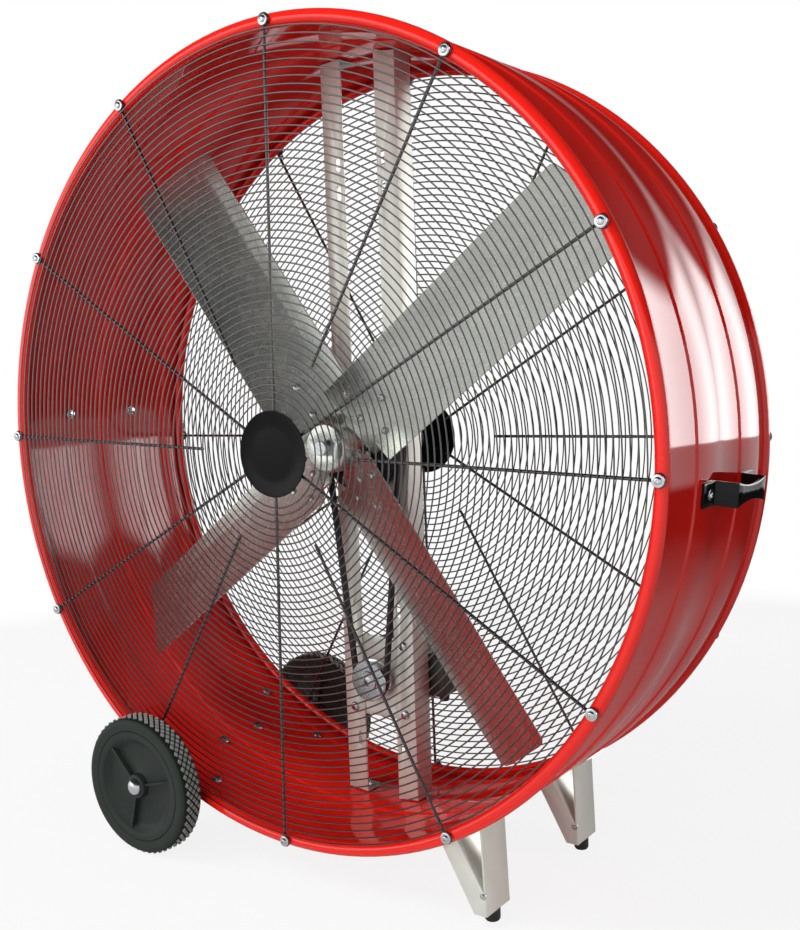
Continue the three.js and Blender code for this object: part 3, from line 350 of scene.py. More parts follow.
black_wire, tree, place, gloss = new_material("black powder-coated wire")
grain = add_node(tree, "ShaderNodeTexNoise", {"Vector": place, "Scale": 700, "Detail": 2})
shade = add_node(tree, "ShaderNodeMix", {0: grain.outputs["Fac"], 6: linear("08080A"), 7: linear("131316")},
                 data_type="RGBA")
set_inputs(gloss, {"Base Color": shade.outputs[2], "Roughness": 0.32, "Specular IOR Level": 0.6,
                   "Coat Weight": 0.5, "Coat IOR": 1.8, "Coat Roughness": 0.12})

bright_zinc, tree, place, gloss = new_material("bright zinc plating")
haze = add_node(tree, "ShaderNodeTexNoise", {"Vector": place, "Scale": 320, "Detail": 3})
shade = add_node(tree, "ShaderNodeMix", {0: haze.outputs["Fac"], 6: linear("BFC3C8"), 7: linear("DCDEE0")},
                 data_type="RGBA")
dull = add_node(tree, "ShaderNodeMapRange", {"Value": haze.outputs["Fac"], "To Min": 0.16, "To Max": 0.32})
set_inputs(gloss, {"Base Color": shade.outputs[2], "Roughness": dull.outputs[0], "Metallic": 1})

ring_wire = 2.5 * mm
spoke_wire = 5 * mm
outer_ring = 636 * mm
ring_pitch = 11.7 * mm
ring_count = 48
fine_rings = 30  # the outer ones, which have more faces
long_spoke_end = 60 * mm
short_spoke_end = 159 * mm
spokes = 12
eyelet = 10.5 * mm
spoke_y = half_depth + 0.3 * mm + spoke_wire / 2
ring_y = spoke_y + spoke_wire / 2 + ring_wire / 3


def wire(name, start, end, radius=spoke_wire / 2, vertices=12):
    """A straight wire between two places."""
    start, end = Vector(start), Vector(end)
    made = add_new(name, bpy.ops.mesh.primitive_cylinder_add, radius=radius, depth=(end - start).length,
                   vertices=vertices)
    made.data.transform(Matrix.Translation(hub + (start + end) / 2)
                        @ (end - start).to_track_quat("Z", "Y").to_matrix().to_4x4())
    return made


def grille(name, side, recess, turn):
    """A guard at the front (side -1) or the rear (side 1), set back from the rim's face by recess."""
    wires = []
    for i in range(ring_count):
        ring = add_new("ring", bpy.ops.mesh.primitive_torus_add, major_radius=outer_ring - i * ring_pitch,
                       minor_radius=ring_wire / 2, major_segments=144 if i < fine_rings else 72, minor_segments=6,
                       location=hub + Vector((0, side * (ring_y - recess), 0)), rotation=(math.pi / 2, 0, 0))
        wires.append(ring)
    flat = side * (spoke_y - recess)
    face = side * spoke_y
    for i in range(spokes):
        inner = short_spoke_end if i % 2 else long_spoke_end
        lengths = [wire("spoke", (0, flat, inner), (0, flat, outer_ring + spoke_wire / 2))]
        if recess:
            lengths.append(wire("step", (0, flat, outer_ring), (0, face, outer_ring)))
        lengths.append(wire("lap", (0, face, outer_ring - spoke_wire / 2), (0, face, rim_circle - eyelet)))
        ring = add_new("eyelet", bpy.ops.mesh.primitive_torus_add, major_radius=eyelet - spoke_wire / 2,
                       minor_radius=0.88 * spoke_wire / 2, major_segments=24, minor_segments=8,
                       location=hub + Vector((0, face, rim_circle)), rotation=(math.pi / 2, 0, 0))
        for length in lengths + [ring]:
            length.data.transform(about_axis(math.radians(30 * i)))
            wires.append(length)
    made = joined(wires, name)
    made.data.transform(about_axis(turn))
    return made


front_turn = math.radians(1.8)
rear_turn = math.radians(-0.6)
rear_recess = 10 * mm
fit(grille("front_guard", -1, 0, front_turn), black_wire, "drum", "black_wire", "front_grille")
fit(grille("rear_guard", 1, rear_recess, rear_turn), black_wire, "drum", "black_wire", "rear_grille")


# ---- Guard bolts ----
# Twelve zinc-plated pan-head screws with washers hold each guard to the rim, one through each eyelet.
def placed(original, name, where, outward):
    """A copy of a fastener that was made at the origin, its head towards -Y, set on a face."""
    turned = Vector((0, -1, 0)).rotation_difference(Vector(outward)).to_matrix().to_4x4()
    return copied(original, name, Matrix.Translation(hub + Vector(where)) @ turned)


def profile(*points):
    """Points in millimetres, as (radius, place along the axis)."""
    return [(radius * mm, along * mm) for radius, along in points]


origin = Vector((0, 0, 0))
eyelet_rise = 2.2 * mm
pan_screw = spun("pan_screw", profile((0, 0), (9, 0), (9, -1.0), (8.7, -1.2), (5.5, -1.2), (5.4, -2.2), (4.6, -3.3),
                                      (3.4, -3.9), (2.2, -4.0), (1.6, -3.2), (0, -3.0)), origin, 24, closed=False)
for side, turn, name in ((-1, front_turn, "front_guard_bolts"), (1, rear_turn, "rear_guard_bolts")):
    screws = []
    for i in range(spokes):
        angle = math.radians(30 * i) + turn
        where = (rim_circle * math.sin(angle), side * (spoke_y + eyelet_rise), rim_circle * math.cos(angle))
        screws.append(placed(pan_screw, "screw", where, (0, side, 0)))
    fit(joined(screws, name), bright_zinc, "drum", "bright_steel")

# ---- Badges ----
# A plain disc in the middle of each guard, gloss-moulded in black ABS with a raised edge. Moulding
# gives it an even dark gloss with a very slight waviness.
gloss_abs, tree, place, gloss = new_material("gloss-moulded black ABS")
flow = add_node(tree, "ShaderNodeTexNoise", {"Vector": place, "Scale": 40, "Detail": 2})
shade = add_node(tree, "ShaderNodeMix", {0: flow.outputs["Fac"], 6: linear("0A0809"), 7: linear("110F10")},
                 data_type="RGBA")
wave = add_node(tree, "ShaderNodeBump", {"Height": flow.outputs["Fac"], "Strength": 0.05, "Distance": 1 * mm})
set_inputs(gloss, {"Base Color": shade.outputs[2], "Normal": wave.outputs[0], "Roughness": 0.2,
                   "Specular IOR Level": 0.08})
badge_line = ((0, 0), (67.5, 0), (68.6, -0.4), (69, -1.0), (68.6, -1.8), (67.6, -2.0), (66.2, -1.7), (65, -1.1),
              (40, -1.3), (0, -1.5))
badge = spun("badge", profile(*badge_line), origin, 72, closed=False)
for node, side, inner_face in (("front_badge", -1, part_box("front_badge")[1].y),
                               ("rear_badge", 1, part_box("rear_badge")[0].y)):
    disc = placed(badge, node + "_disc", (0, inner_face, 0), (0, side, 0))
    fit(disc, gloss_abs, "drum", "badge_plastic", node)


# ---- Uprights ----
# Two angles of 3 mm hot-dip galvanised sheet stand across the drum from top to bottom, punched with
# slots and folded over at both ends.
def bevelled(piece, width, segments=2, corner=30):
    """Rounds the edges of the active object that turn by more than corner, in degrees."""
    rounding = piece.modifiers.new("edges", "BEVEL")
    rounding.width = width * mm
    rounding.segments = segments
    rounding.limit_method = "ANGLE"
    rounding.angle_limit = math.radians(corner)
    bpy.ops.object.modifier_apply(modifier="edges")


def refined(node, name, edge, clear_of=None, corner=30):
    """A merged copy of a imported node, cleared of a shape that it sits on, its edges rounded."""
    made = bpy.data.objects.new(name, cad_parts[node].data.copy())
    made.data.name = name
    scene.collection.objects.link(made)
    bpy.ops.object.select_all(action="DESELECT")
    made.select_set(True)
    bpy.context.view_layer.objects.active = made
    bpy.ops.object.mode_set(mode="EDIT")
    bpy.ops.mesh.select_all(action="SELECT")
    bpy.ops.mesh.remove_doubles(threshold=0.01 * mm)
    bpy.ops.mesh.dissolve_limited(angle_limit=math.radians(0.4))
    bpy.ops.object.mode_set(mode="OBJECT")
    if clear_of:
        seat = made.modifiers.new("seat", "BOOLEAN")
        seat.object = clear_of
        seat.operation = "DIFFERENCE"
        seat.solver = "EXACT"
        bpy.ops.object.modifier_apply(modifier="seat")
    bevelled(made, edge, corner=corner)
    return made


# Fresh hot-dip zinc, as on the blades, gives a satin grey with faint crystals about 8 mm across.
galvanised, tree, place, gloss = new_material("hot-dip galvanised steel")
spangle = add_node(tree, "ShaderNodeTexVoronoi", {"Vector": place, "Scale": 120})
tone = add_node(tree, "ShaderNodeSeparateColor", {0: spangle.outputs["Color"]})
cloud = add_node(tree, "ShaderNodeTexNoise", {"Vector": place, "Scale": 16, "Detail": 5})
both = add_node(tree, "ShaderNodeMix", {0: 0.72, 2: tone.outputs[0], 3: cloud.outputs["Fac"]})
grey = add_node(tree, "ShaderNodeMix", {0: both.outputs[0], 6: linear("BDC0BA"), 7: linear("D6D9D2")},
                data_type="RGBA")
dull = add_node(tree, "ShaderNodeMapRange", {"Value": both.outputs[0], "To Min": 0.22, "To Max": 0.31})
grain = add_node(tree, "ShaderNodeBump", {"Height": cloud.outputs["Fac"], "Strength": 0.02, "Distance": 0.5 * mm})
set_inputs(gloss, {"Base Color": grey.outputs[2], "Roughness": dull.outputs[0], "Normal": grain.outputs[0],
                   "Metallic": 0.94})

# Structural sheet is weathered: the zinc's crystals have faded to an even, pale and nearly matt grey.
weathered, tree, place, gloss = new_material("weathered galvanised steel")
cloud = add_node(tree, "ShaderNodeTexNoise", {"Vector": place, "Scale": 30, "Detail": 5})
grey = add_node(tree, "ShaderNodeMix", {0: cloud.outputs["Fac"], 6: linear("C6C8BF"), 7: linear("D8D9D1")},
                data_type="RGBA")
dull = add_node(tree, "ShaderNodeMapRange", {"Value": cloud.outputs["Fac"], "To Min": 0.34, "To Max": 0.46})
set_inputs(gloss, {"Base Color": grey.outputs[2], "Roughness": dull.outputs[0], "Metallic": 0.45})
for node in ("left_upright", "right_upright"):
    fit(refined(node, node + "_angle", 0.8), weathered, "drum", "galvanised", node)

# ---- Plates across the uprights ----
# A 4 mm galvanised plate carries the shaft's bearings and a slotted one the motor. Each is held by four
# zinc-plated hexagon bolts through the uprights.
fit(refined("bearing_plate", "bearing_mount", 0.8), weathered, "drum", "galvanised", "bearing_plate")
fit(refined("motor_plate", "motor_mount", 0.8), weathered, "drum", "galvanised", "motor_plate")

hex_bolt = spun("hex_bolt", profile((0, 0), (9, 0), (9, -1.2), (8.6, -1.5), (0, -1.5)), origin, 24, closed=False)
head = add_new("head", bpy.ops.mesh.primitive_cylinder_add, radius=7.4 * mm, depth=4.2 * mm, vertices=6,
               location=(0, -3.4 * mm, 0), rotation=(math.pi / 2, 0, 0))
bevelled(head, 0.7)
hex_bolt = joined([hex_bolt, head], "hex_bolt")

upright_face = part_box("left_upright")[0].y
motor_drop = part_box("motor_pulley")[0].z - hub.z + 37 * mm
plate_bolts = [placed(hex_bolt, "bolt", (x * mm, upright_face, middle + z * mm), (0, -1, 0))
               for middle, z_steps in ((0, (-60, 60)), (motor_drop, (-63, 63)))
               for x in (-57, 57) for z in z_steps]
fit(joined(plate_bolts, "plate_bolts"), bright_zinc, "drum", "bright_steel")
tab_bolts = []
tab_y = 62 * mm
tab_radius = 649.2 * mm  # the inner face of the uprights' tabs
for side in (-1, 1):
    for end in (-1, 1):
        lean = side * math.asin(57 / 655)
        where = (tab_radius * math.sin(lean), tab_y, end * tab_radius * math.cos(lean))
        tab_bolts.append(placed(hex_bolt, "bolt", where, (-math.sin(lean), 0, -end * math.cos(lean))))
fit(joined(tab_bolts, "upright_bolts"), bright_zinc, "drum", "bright_steel")

# ---- Bearing housing, bearings and shaft ----
# A flanged tube of machined, unpainted cast iron holds a sealed ball bearing at each end. The ground
# shaft runs through both.
cast_iron, tree, place, gloss = new_material("machined cast iron")
sand = add_node(tree, "ShaderNodeTexNoise", {"Vector": place, "Scale": 600, "Detail": 4})
shade = add_node(tree, "ShaderNodeMix", {0: sand.outputs["Fac"], 6: linear("2E3032"), 7: linear("4A4C4E")},
                 data_type="RGBA")
pits = add_node(tree, "ShaderNodeBump", {"Height": sand.outputs["Fac"], "Strength": 0.3, "Distance": 0.3 * mm})
set_inputs(gloss, {"Base Color": shade.outputs[2], "Normal": pits.outputs[0], "Roughness": 0.5,
                   "Metallic": 0.6})
housing_line = ((26.3, 46.6), (47, 46.6), (48, 47.6), (48, 53.6), (47, 54.6), (36, 54.6), (32.6, 56.4), (31, 60),
                (31, 157.6), (30, 158.6), (26.3, 158.6), (26.3, 139.3), (20, 139.3), (20, 66), (26.3, 66))
housing = spun("housing", profile(*housing_line))
quarter_turns = [math.radians(45 + 90 * i) for i in range(4)]
bolt_circle = 40 * mm
flange_bolts = [placed(hex_bolt, "bolt", (bolt_circle * math.sin(a), 54.6 * mm, bolt_circle * math.cos(a)), (0, 1, 0))
                for a in quarter_turns]
fit(housing, cast_iron, "drum", "cast_iron", "bearing_housing")
fit(joined(flange_bolts, "housing_bolts"), bright_zinc, "drum", "bright_steel")
for node, y in (("front_bearing", 50.6), ("rear_bearing", 139.6)):
    line = ((12.9, y), (16, y), (16.3, y + 0.8), (22, y + 0.8), (22.3, y), (25.6, y), (25.6, y + 15), (22.3, y + 15),
            (22, y + 14.2), (16.3, y + 14.2), (16, y + 15), (12.9, y + 15))
    fit(spun(node + "_race", profile(*line), steps=48), bright_zinc, "drum", "bright_steel", node)
shaft_line = ((0, -99), (11.3, -99), (12.5, -97.8), (12.5, 163.4), (11.3, 164.6), (0, 164.6))
shaft = spun("shaft", profile(*shaft_line), steps=48, closed=False)
fit(shaft, bright_zinc, "fan", "bright_steel", "fan_shaft")

# ---- Sheave, motor pulley and belt ----
# The large grooved wheel is turned from cast iron, the small one from zinc-plated steel, and a wrapped
# rubber V-belt runs in both grooves.
sheave_line = ((12.8, 1), (27, 1), (28, 2), (28, 12), (66, 12), (67, 6.6), (68, 6), (84.4, 6), (85, 6.6), (85, 9.2),
               (73, 12.7), (73, 19.3), (85, 22.8), (85, 25.4), (84.4, 26), (68, 26), (67, 25.4), (66, 20), (28, 20),
               (28, 30), (27, 31), (12.8, 31))
sheave = spun("sheave", profile(*sheave_line), steps=96)
fit(sheave, cast_iron, "fan", "cast_iron", "driven_sheave")
pulley_line = ((8.3, 3), (17.4, 3), (18, 3.6), (19, 6), (36.4, 6), (37, 6.6), (37, 9.2), (25, 12.7), (25, 19.3),
               (37, 22.8), (37, 25.4), (36.4, 26), (19, 26), (18, 28.4), (17.4, 29), (8.3, 29))
pulley = spun("pulley", profile(*pulley_line), hub + Vector((0, 0, motor_drop)))
fit(pulley, bright_zinc, "motor_rotor", "bright_steel", "motor_pulley")

# Wrapped rubber has no gloss, and its cloth cover shows as a fine weave about 1 mm apart.
belt_rubber, tree, place, gloss = new_material("wrapped belt rubber")
weave = add_node(tree, "ShaderNodeTexWave", {"Vector": place, "Scale": 160, "Distortion": 1},
                 bands_direction="DIAGONAL")
shade = add_node(tree, "ShaderNodeMix", {0: weave.outputs["Fac"], 6: linear("141415"), 7: linear("232425")},
                 data_type="RGBA")
cloth = add_node(tree, "ShaderNodeBump", {"Height": weave.outputs["Fac"], "Strength": 0.3, "Distance": 0.2 * mm})
set_inputs(gloss, {"Base Color": shade.outputs[2], "Normal": cloth.outputs[0], "Roughness": 0.72})
fit(refined("drive_belt", "v_belt", 0.6), belt_rubber, "drum", "belt_rubber", "drive_belt")

# ---- Spider and blades ----
# The turned hub carries four galvanised pads, and each blade of 2.5 mm galvanised sheet, folded along
# both edges, is riveted to its pad with four dome-headed rivets.
fit(refined("blade_spider", "spider", 0.6), galvanised, "fan", "galvanised", "blade_spider")
rivet = spun("rivet", profile((0, 0.5), (6.5, 0.5), (6.5, -0.2), (6.1, -1.5), (5, -2.5), (3.2, -3.2), (1.4, -3.5),
                              (0, -3.5)), origin, 20, closed=False)
pitch = math.radians(27.5)
first_blade = 53.7  # degrees from the top
blade_face = -57 - 1.25 / math.cos(pitch) + 4.6
for i in range(4):
    blade = refined("blade_%d" % (i + 1), "blade_sheet_%d" % (i + 1), 0.5)
    rivets = []
    for across, out in ((-6, 72), (-6, 129), (-44, 88), (32, 88)):
        where = Vector((across, blade_face + across * math.tan(pitch), out)) * mm
        head = placed(rivet, "rivet", where, (math.sin(pitch), -math.cos(pitch), 0))
        head.data.transform(about_axis(math.radians(first_blade + 90 * i)))
        rivets.append(head)
    fit(joined([blade] + rivets, "blade_sheet_%d" % (i + 1)), galvanised, "fan", "galvanised", "blade_%d" % (i + 1),
        sharp=11)

# ---- Motor ----
# A closed single-phase motor: a rolled steel shell between two cast end bells, held by four long
# bolts and painted dark olive. Sprayed paint gives a low gloss and a fine orange peel.
motor_paint, tree, place, gloss = new_material("dark olive spray paint")
peel = add_node(tree, "ShaderNodeTexNoise", {"Vector": place, "Scale": 500, "Detail": 2})
shade = add_node(tree, "ShaderNodeMix", {0: peel.outputs["Fac"], 6: linear("1E241E"), 7: linear("2C332B")},
                 data_type="RGBA")
bump = add_node(tree, "ShaderNodeBump", {"Height": peel.outputs["Fac"], "Strength": 0.2, "Distance": 0.3 * mm})
set_inputs(gloss, {"Base Color": shade.outputs[2], "Normal": bump.outputs[0], "Roughness": 0.4})
motor_middle = hub + Vector((0, 0, motor_drop))
shell_line = ((66.2, 68.9), (69.4, 68.9), (69.9, 69.6), (69.9, 149.6), (69.4, 150.3), (66.2, 150.3))
fit(spun("motor_case", profile(*shell_line), motor_middle), motor_paint, "drum", "motor_paint", "motor_shell")
long_bolts = 58 * mm  # radius of their circle
for node, face, step in (("motor_front_bell", 46.6, 1), ("motor_rear_bell", 172.6, -1)):
    line = [(radius, face + step * y) for radius, y in
            ((8.9, 0), (19, 0), (20, 1), (20, 3), (22, 4), (52, 4), (60, 6), (66, 10), (69.3, 15), (69.9, 18),
             (69.9, 22), (65.8, 22), (65.8, 19), (62, 13), (55, 9), (22, 8), (20, 18), (8.9, 18))]
    bell = spun(node + "_casting", profile(*line), motor_middle)
    screw_y = (face + step * 5.2) * mm
    heads = [placed(pan_screw, "screw", (long_bolts * math.sin(a), screw_y, motor_drop + long_bolts * math.cos(a)),
                    (0, -step, 0)) for a in quarter_turns]
    fit(joined([bell] + heads, node + "_casting"), motor_paint, "drum", "motor_paint", node)

# Varnished copper windings on stacked steel, seen only inside the motor.
varnished_copper, tree, place, gloss = new_material("varnished copper windings")
turns = add_node(tree, "ShaderNodeTexWave", {"Vector": place, "Scale": 300}, bands_direction="Y")
shade = add_node(tree, "ShaderNodeMix", {0: turns.outputs["Fac"], 6: linear("5A2F16"), 7: linear("A8602F")},
                 data_type="RGBA")
set_inputs(gloss, {"Base Color": shade.outputs[2], "Metallic": 0.7, "Roughness": 0.35})
fit(refined("motor_stator", "stator", 0.5), varnished_copper, "drum", "copper_windings", "motor_stator")
fit(refined("motor_rotor", "rotor", 0.5), bright_zinc, "motor_rotor", "bright_steel", "motor_rotor")

# ---- Switch box, knob and lead ----
# A pressed steel box beside the motor holds the speed switch. Its spindle passes the rear guard to a
# phenolic knob, and a black lead joins the box to the motor.
fit(refined("switch_box", "switch_case", 2.0), motor_paint, "drum", "motor_paint", "switch_box")

gloss_black, tree, place, gloss = new_material("stoved black gloss enamel")
peel = add_node(tree, "ShaderNodeTexNoise", {"Vector": place, "Scale": 240, "Detail": 2})
shade = add_node(tree, "ShaderNodeMix", {0: peel.outputs["Fac"], 6: linear("08090A"), 7: linear("101113")},
                 data_type="RGBA")
bump = add_node(tree, "ShaderNodeBump", {"Height": peel.outputs["Fac"], "Strength": 0.07, "Distance": 0.3 * mm})
set_inputs(gloss, {"Base Color": shade.outputs[2], "Normal": bump.outputs[0], "Roughness": 0.08,
                   "Specular IOR Level": 0.22})
knob_low, knob_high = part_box("switch_knob")
knob_middle = Vector(((knob_low.x + knob_high.x) / 2, 0, (knob_low.z + knob_high.z) / 2))
knob_line = ((0, 164), (3, 164), (3, 220.2), (15.2, 220.2), (16, 221), (16, 223), (14.6, 224), (14, 234.6),
             (12.8, 236), (0, 236.1))
knob = spun("knob", profile(*knob_line), knob_middle + Vector((0, hub.y, 0)), closed=False)
pointer = add_new("pointer", bpy.ops.mesh.primitive_cube_add, size=1,
                  location=knob_middle + Vector((0, 235.2 * mm, 5.5 * mm)), scale=(4 * mm, 5.6 * mm, 15 * mm))
bevelled(pointer, 1.2, segments=3)
fit(joined([knob, pointer], "knob"), gloss_black, "switch_knob", "black_paint", "switch_knob")

lead = refined("motor_lead", "lead", 0.1, corner=60)
round_off = lead.modifiers.new("round", "SUBSURF")
round_off.levels = round_off.render_levels = 1
bpy.ops.object.modifier_apply(modifier="round")
gland_line = ((4.3, 0), (11, 0), (11, -5), (9, -6), (8, -13), (5.2, -14), (4.3, -14))
gland = spun("gland", profile(*gland_line), origin, 24)
ends = [placed(gland, "gland", (-20 * mm, 108.6 * mm, motor_drop + 70 * mm), (0, 0, 1)),
        placed(gland, "gland", (88.3 * mm, 132 * mm, motor_drop + 38.6 * mm), (0, 0, 1))]
fit(joined([lead] + ends, "lead"), belt_rubber, "drum", "belt_rubber", "motor_lead")

# ---- Handles ----
# A strap handle on each side of the drum, pressed from 3 mm steel, waisted for the hand, enamelled
# glossy black and held by two cross-recessed screws with nuts inside the drum.

# The envelope is a shape a little larger than the drum's wall, and it cuts the seats of what lies on it.
cut_inside, cut_outside, cut_end = wall - 30 * mm, wall + 0.3 * mm, half_depth - rim_size
envelope = spun("envelope", [(cut_inside, -cut_end), (cut_outside, -cut_end)] + drum_wall(cut_outside)
                + [(cut_outside, cut_end), (cut_inside, cut_end)], steps=180)
cross_screw = copied(pan_screw, "cross_screw", Matrix.Scale(0.9, 4))
for angle in (0, math.pi / 2):
    arm = add_new("arm", bpy.ops.mesh.primitive_cube_add, size=1, location=(0, -3.5 * mm, 0),
                  rotation=(0, angle, 0), scale=(6 * mm, 0.6 * mm, 1.2 * mm))
    cross_screw = joined([cross_screw, arm], "cross_screw")
screws = []
fall = math.radians(4.8)
strap_face = 661.3 * mm
for node, side, middle in (("right_handle", 1, 23), ("left_handle", -1, -9)):
    fit(refined(node, node + "_strap", 1.0, envelope), gloss_black, "drum", "black_paint", node)
    outward = Vector((side * math.cos(fall), 0, -side * math.sin(fall)))
    for end in (-76, 76):
        along = Vector((0, (middle + end) * mm, 0))
        screws.append(placed(cross_screw, "screw", outward * strap_face + along, outward))
        screws.append(placed(hex_bolt, "nut", outward * (wall - sheet) + along, -outward))
fit(joined(screws, "handle_bolts"), bright_zinc, "drum", "bright_steel")

# ---- Axle and its brackets ----
# Two galvanised brackets under the drum, each pressed with a saddle and two ears, carry a plated
# axle. Three bolts hold each one, their heads inside the drum.
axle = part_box("wheel_axle")
axle_middle = Vector(((axle[0].x + axle[1].x) / 2, hub.y, (axle[0].z + axle[1].z) / 2))
axle_line = ((0, -270), (7.2, -270), (8, -269.2), (8, 269.2), (7.2, 270), (0, 270))
fit(spun("axle_bar", profile(*axle_line), axle_middle, 32, closed=False), bright_zinc, "drum", "bright_steel",
    "wheel_axle")
bolts = []
for node, side in (("front_axle_bracket", -1), ("rear_axle_bracket", 1)):
    fit(refined(node, node + "_pressing", 0.8, envelope), weathered, "drum", "galvanised", node)
    for angle, y in ((35.2, 141), (29.0, 47), (21.9, 141)):
        a = math.radians(angle)
        inward = Vector((math.sin(a), 0, math.cos(a)))
        bolts.append(placed(hex_bolt, "bolt", -inward * (wall - sheet) + Vector((0, side * y * mm, 0)), inward))
fit(joined(bolts, "bracket_bolts"), bright_zinc, "drum", "bright_steel")

# ---- Wheels ----
# Ten-inch wheels moulded in dark grey-green nylon, with a flat flange, a deep cone and three ribs on
# each face. The rubber tyre has a tread of raised diamonds. A plated cap is pressed over the axle's end.
moulded_nylon, tree, place, gloss = new_material("moulded dark nylon")
grain = add_node(tree, "ShaderNodeTexNoise", {"Vector": place, "Scale": 420, "Detail": 3})
shade = add_node(tree, "ShaderNodeMix", {0: grain.outputs["Fac"], 6: linear("191E1B"), 7: linear("272C29")},
                 data_type="RGBA")
bump = add_node(tree, "ShaderNodeBump", {"Height": grain.outputs["Fac"], "Strength": 0.15, "Distance": 0.3 * mm})
set_inputs(gloss, {"Base Color": shade.outputs[2], "Normal": bump.outputs[0], "Roughness": 0.45,
                   "Specular IOR Level": 0.2})

# Worn rubber is paler on the tops of the tread than in its grooves, and a little greener on its sides.
tyre_rubber, tree, place, gloss = new_material("worn tyre rubber")
dust = add_node(tree, "ShaderNodeTexNoise", {"Vector": place, "Scale": 260, "Detail": 4})
worn = add_node(tree, "ShaderNodeAttribute", attribute_name="tread_top")
shade = add_node(tree, "ShaderNodeMix", {0: dust.outputs["Fac"], 6: linear("0F1110"), 7: linear("1A1D1B")},
                 data_type="RGBA")
side_wall = add_node(tree, "ShaderNodeAttribute", attribute_name="side_wall")
greener = add_node(tree, "ShaderNodeMix", {0: side_wall.outputs["Fac"], 6: shade.outputs[2], 7: linear("242926")},
                   data_type="RGBA")
paler = add_node(tree, "ShaderNodeMix", {0: worn.outputs["Fac"], 6: greener.outputs[2], 7: linear("858883")},
                 data_type="RGBA")
bump = add_node(tree, "ShaderNodeBump", {"Height": dust.outputs["Fac"], "Strength": 0.2, "Distance": 0.3 * mm})
set_inputs(gloss, {"Base Color": paler.outputs[2], "Normal": bump.outputs[0], "Roughness": 0.68,
                   "Specular IOR Level": 0.25})

wheel_y = (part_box("front_wheel")[0].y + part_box("front_wheel")[1].y) / 2
half_line = [(8.5, -22.4), (19, -22.4), (21, -21.4), (22, -19), (23, -11.5), (27, -9.5), (72, -9.5), (77, -10.5),
             (86, -19.2), (88, -20.4), (98.7, -20.4), (99.7, -19.4)]
wheel = spun("wheel", profile(*half_line, *[(radius, -y) for radius, y in half_line[::-1]]), origin, 96)
rib = add_new("rib", bpy.ops.mesh.primitive_cube_add, size=1, location=(0, 0, 53 * mm),
              scale=(4.4 * mm, 38 * mm, 64 * mm))
bevelled(rib, 0.8)
ribs = [copied(rib, "rib", Matrix.Rotation(math.radians(angle), 4, "Y")) for angle in (-45, 75, 195)]
bpy.data.objects.remove(rib)
wheel = joined([wheel] + ribs, "wheel")

half_line = [(100, -19.4), (101, -20.6), (111, -22.4), (114, -22.4), (119, -20.6), (121.6, -17.6), (122.2, -15)]
tyre = spun("tyre", profile(*half_line, *[(radius, -y) for radius, y in half_line[::-1]]), origin, 96)
tread_rows = 5
row_pitch = 5.9 * mm
round_count = 54
side_reach = 120 * mm
top_reach = 124.2 * mm
diamond = add_new("diamond", bpy.ops.mesh.primitive_cone_add, vertices=4, radius1=5.3 * mm, radius2=4.3 * mm,
                  depth=3.4 * mm, end_fill_type="NGON", location=(0, 0, 123.2 * mm))
diamond.data.transform(Matrix.Diagonal((1, 0.78, 1, 1)))
tread = []
for row in range(-(tread_rows // 2), tread_rows // 2 + 1):
    for i in range(round_count):
        turned = Matrix.Rotation(2 * math.pi * (i + 0.5 * (row % 2)) / round_count, 4, "Y")
        tread.append(copied(diamond, "diamond", turned @ Matrix.Translation((0, row * row_pitch, 0))))
bpy.data.objects.remove(diamond)
tyre = joined([tyre] + tread, "tyre")
tyre.data.attributes.new("tread_top", "FLOAT", "POINT")
tyre.data.attributes.new("side_wall", "FLOAT", "POINT")
tops, walls = (tyre.data.attributes[name] for name in ("tread_top", "side_wall"))
for i, vertex in enumerate(tyre.data.vertices):
    reach = math.hypot(vertex.co.x, vertex.co.z)
    tops.data[i].value = 1 if reach > top_reach else 0
    walls.data[i].value = 1 if reach < side_reach else 0

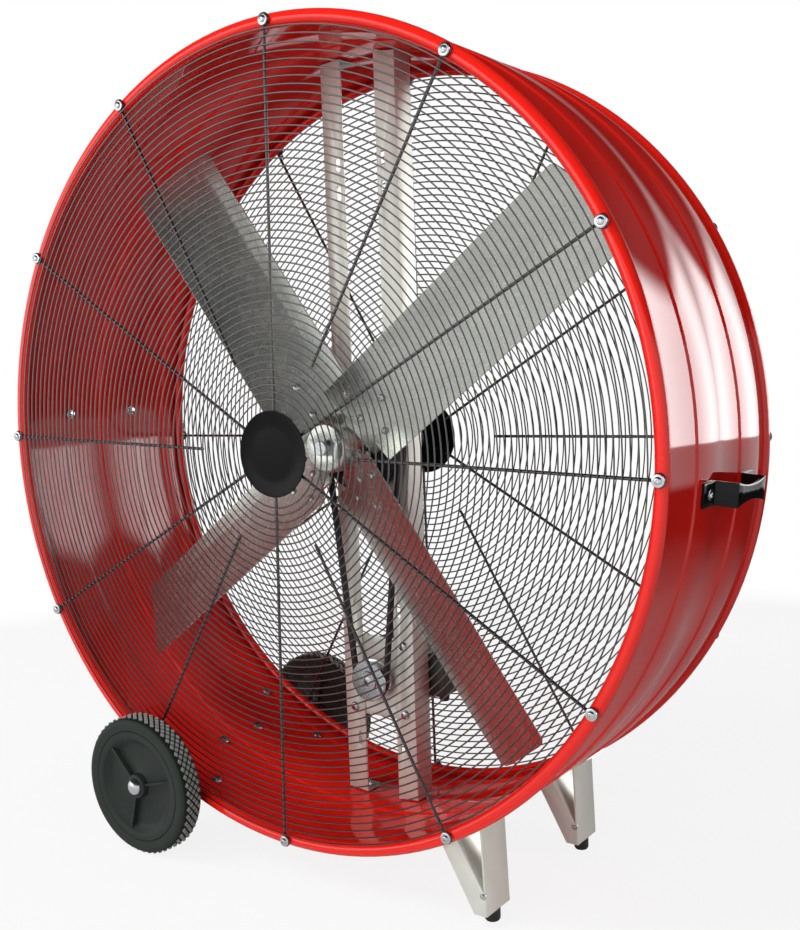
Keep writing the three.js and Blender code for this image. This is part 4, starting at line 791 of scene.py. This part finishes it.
cap_line = ((0, -29), (8.6, -29), (8.6, -22.9), (15, -22.9), (14.7, -25.4), (13.2, -28), (10, -30.4), (5.5, -31.9),
            (0, -32.3))
cap = spun("cap", profile(*cap_line), origin, 40, closed=False)
for end, side in (("front", -1), ("rear", 1)):
    wheel_middle = Vector((axle_middle.x, side * abs(wheel_y), axle_middle.z)) - hub
    for original, node, material, body, slot in (
            (wheel, "_wheel", moulded_nylon, end + "_wheel", "wheel_plastic"),
            (tyre, "_tyre", tyre_rubber, end + "_wheel", "tyre_rubber"),
            (cap, "_axle_cap", bright_zinc, "drum", "bright_steel")):
        made = placed(original, end + node + "_moulding", wheel_middle, (0, side, 0))
        fit(made, material, body, slot, end + node)

# ---- Legs and feet ----
# Each leg is folded from 3 mm galvanised sheet and welded to a saddle under the drum. A rubber bumper
# is screwed under its foot plate. Rubber gives the bumper a deep, dull black.
bumper_rubber, tree, place, gloss = new_material("moulded bumper rubber")
dust = add_node(tree, "ShaderNodeTexNoise", {"Vector": place, "Scale": 500, "Detail": 3})
shade = add_node(tree, "ShaderNodeMix", {0: dust.outputs["Fac"], 6: linear("121314"), 7: linear("202123")},
                 data_type="RGBA")
set_inputs(gloss, {"Base Color": shade.outputs[2], "Roughness": 0.55})
small_screw = copied(pan_screw, "small_screw", Matrix.Scale(0.65, 4))
leg_bolts = []
leg_bolt_x, leg_bolt_z = 354.2 * mm, -665 * mm
for end in ("front", "rear"):
    fit(refined(end + "_leg", end + "_leg_folding", 0.8, envelope), weathered, "drum", "galvanised", end + "_leg")
    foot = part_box(end + "_foot")
    foot_middle = (foot[0] + foot[1]) / 2
    foot_line = ((0, 0), (7.5, 0), (10.5, 0.8), (12.2, 3.4), (12.5, 6), (12.5, 20), (0, 20))
    bumper = spun(end + "_bumper", profile(*foot_line), Vector((foot_middle.x, foot_middle.y, 0)), 32, closed=False,
                  upright=True)
    fit(bumper, bumper_rubber, "drum", "black_rubber", end + "_foot")
    where = (leg_bolt_x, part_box(end + "_leg")[0].y, leg_bolt_z)
    leg_bolts.append(placed(small_screw, "screw", where, (0, -1, 0)))
fit(joined(leg_bolts, "leg_bolts"), bright_zinc, "drum", "bright_steel")

# The shapes that were only copied or cut with are taken away.
for original in (pan_screw, cross_screw, small_screw, hex_bolt, rivet, badge, gland, envelope, wheel, tyre, cap):
    bpy.data.objects.remove(original)
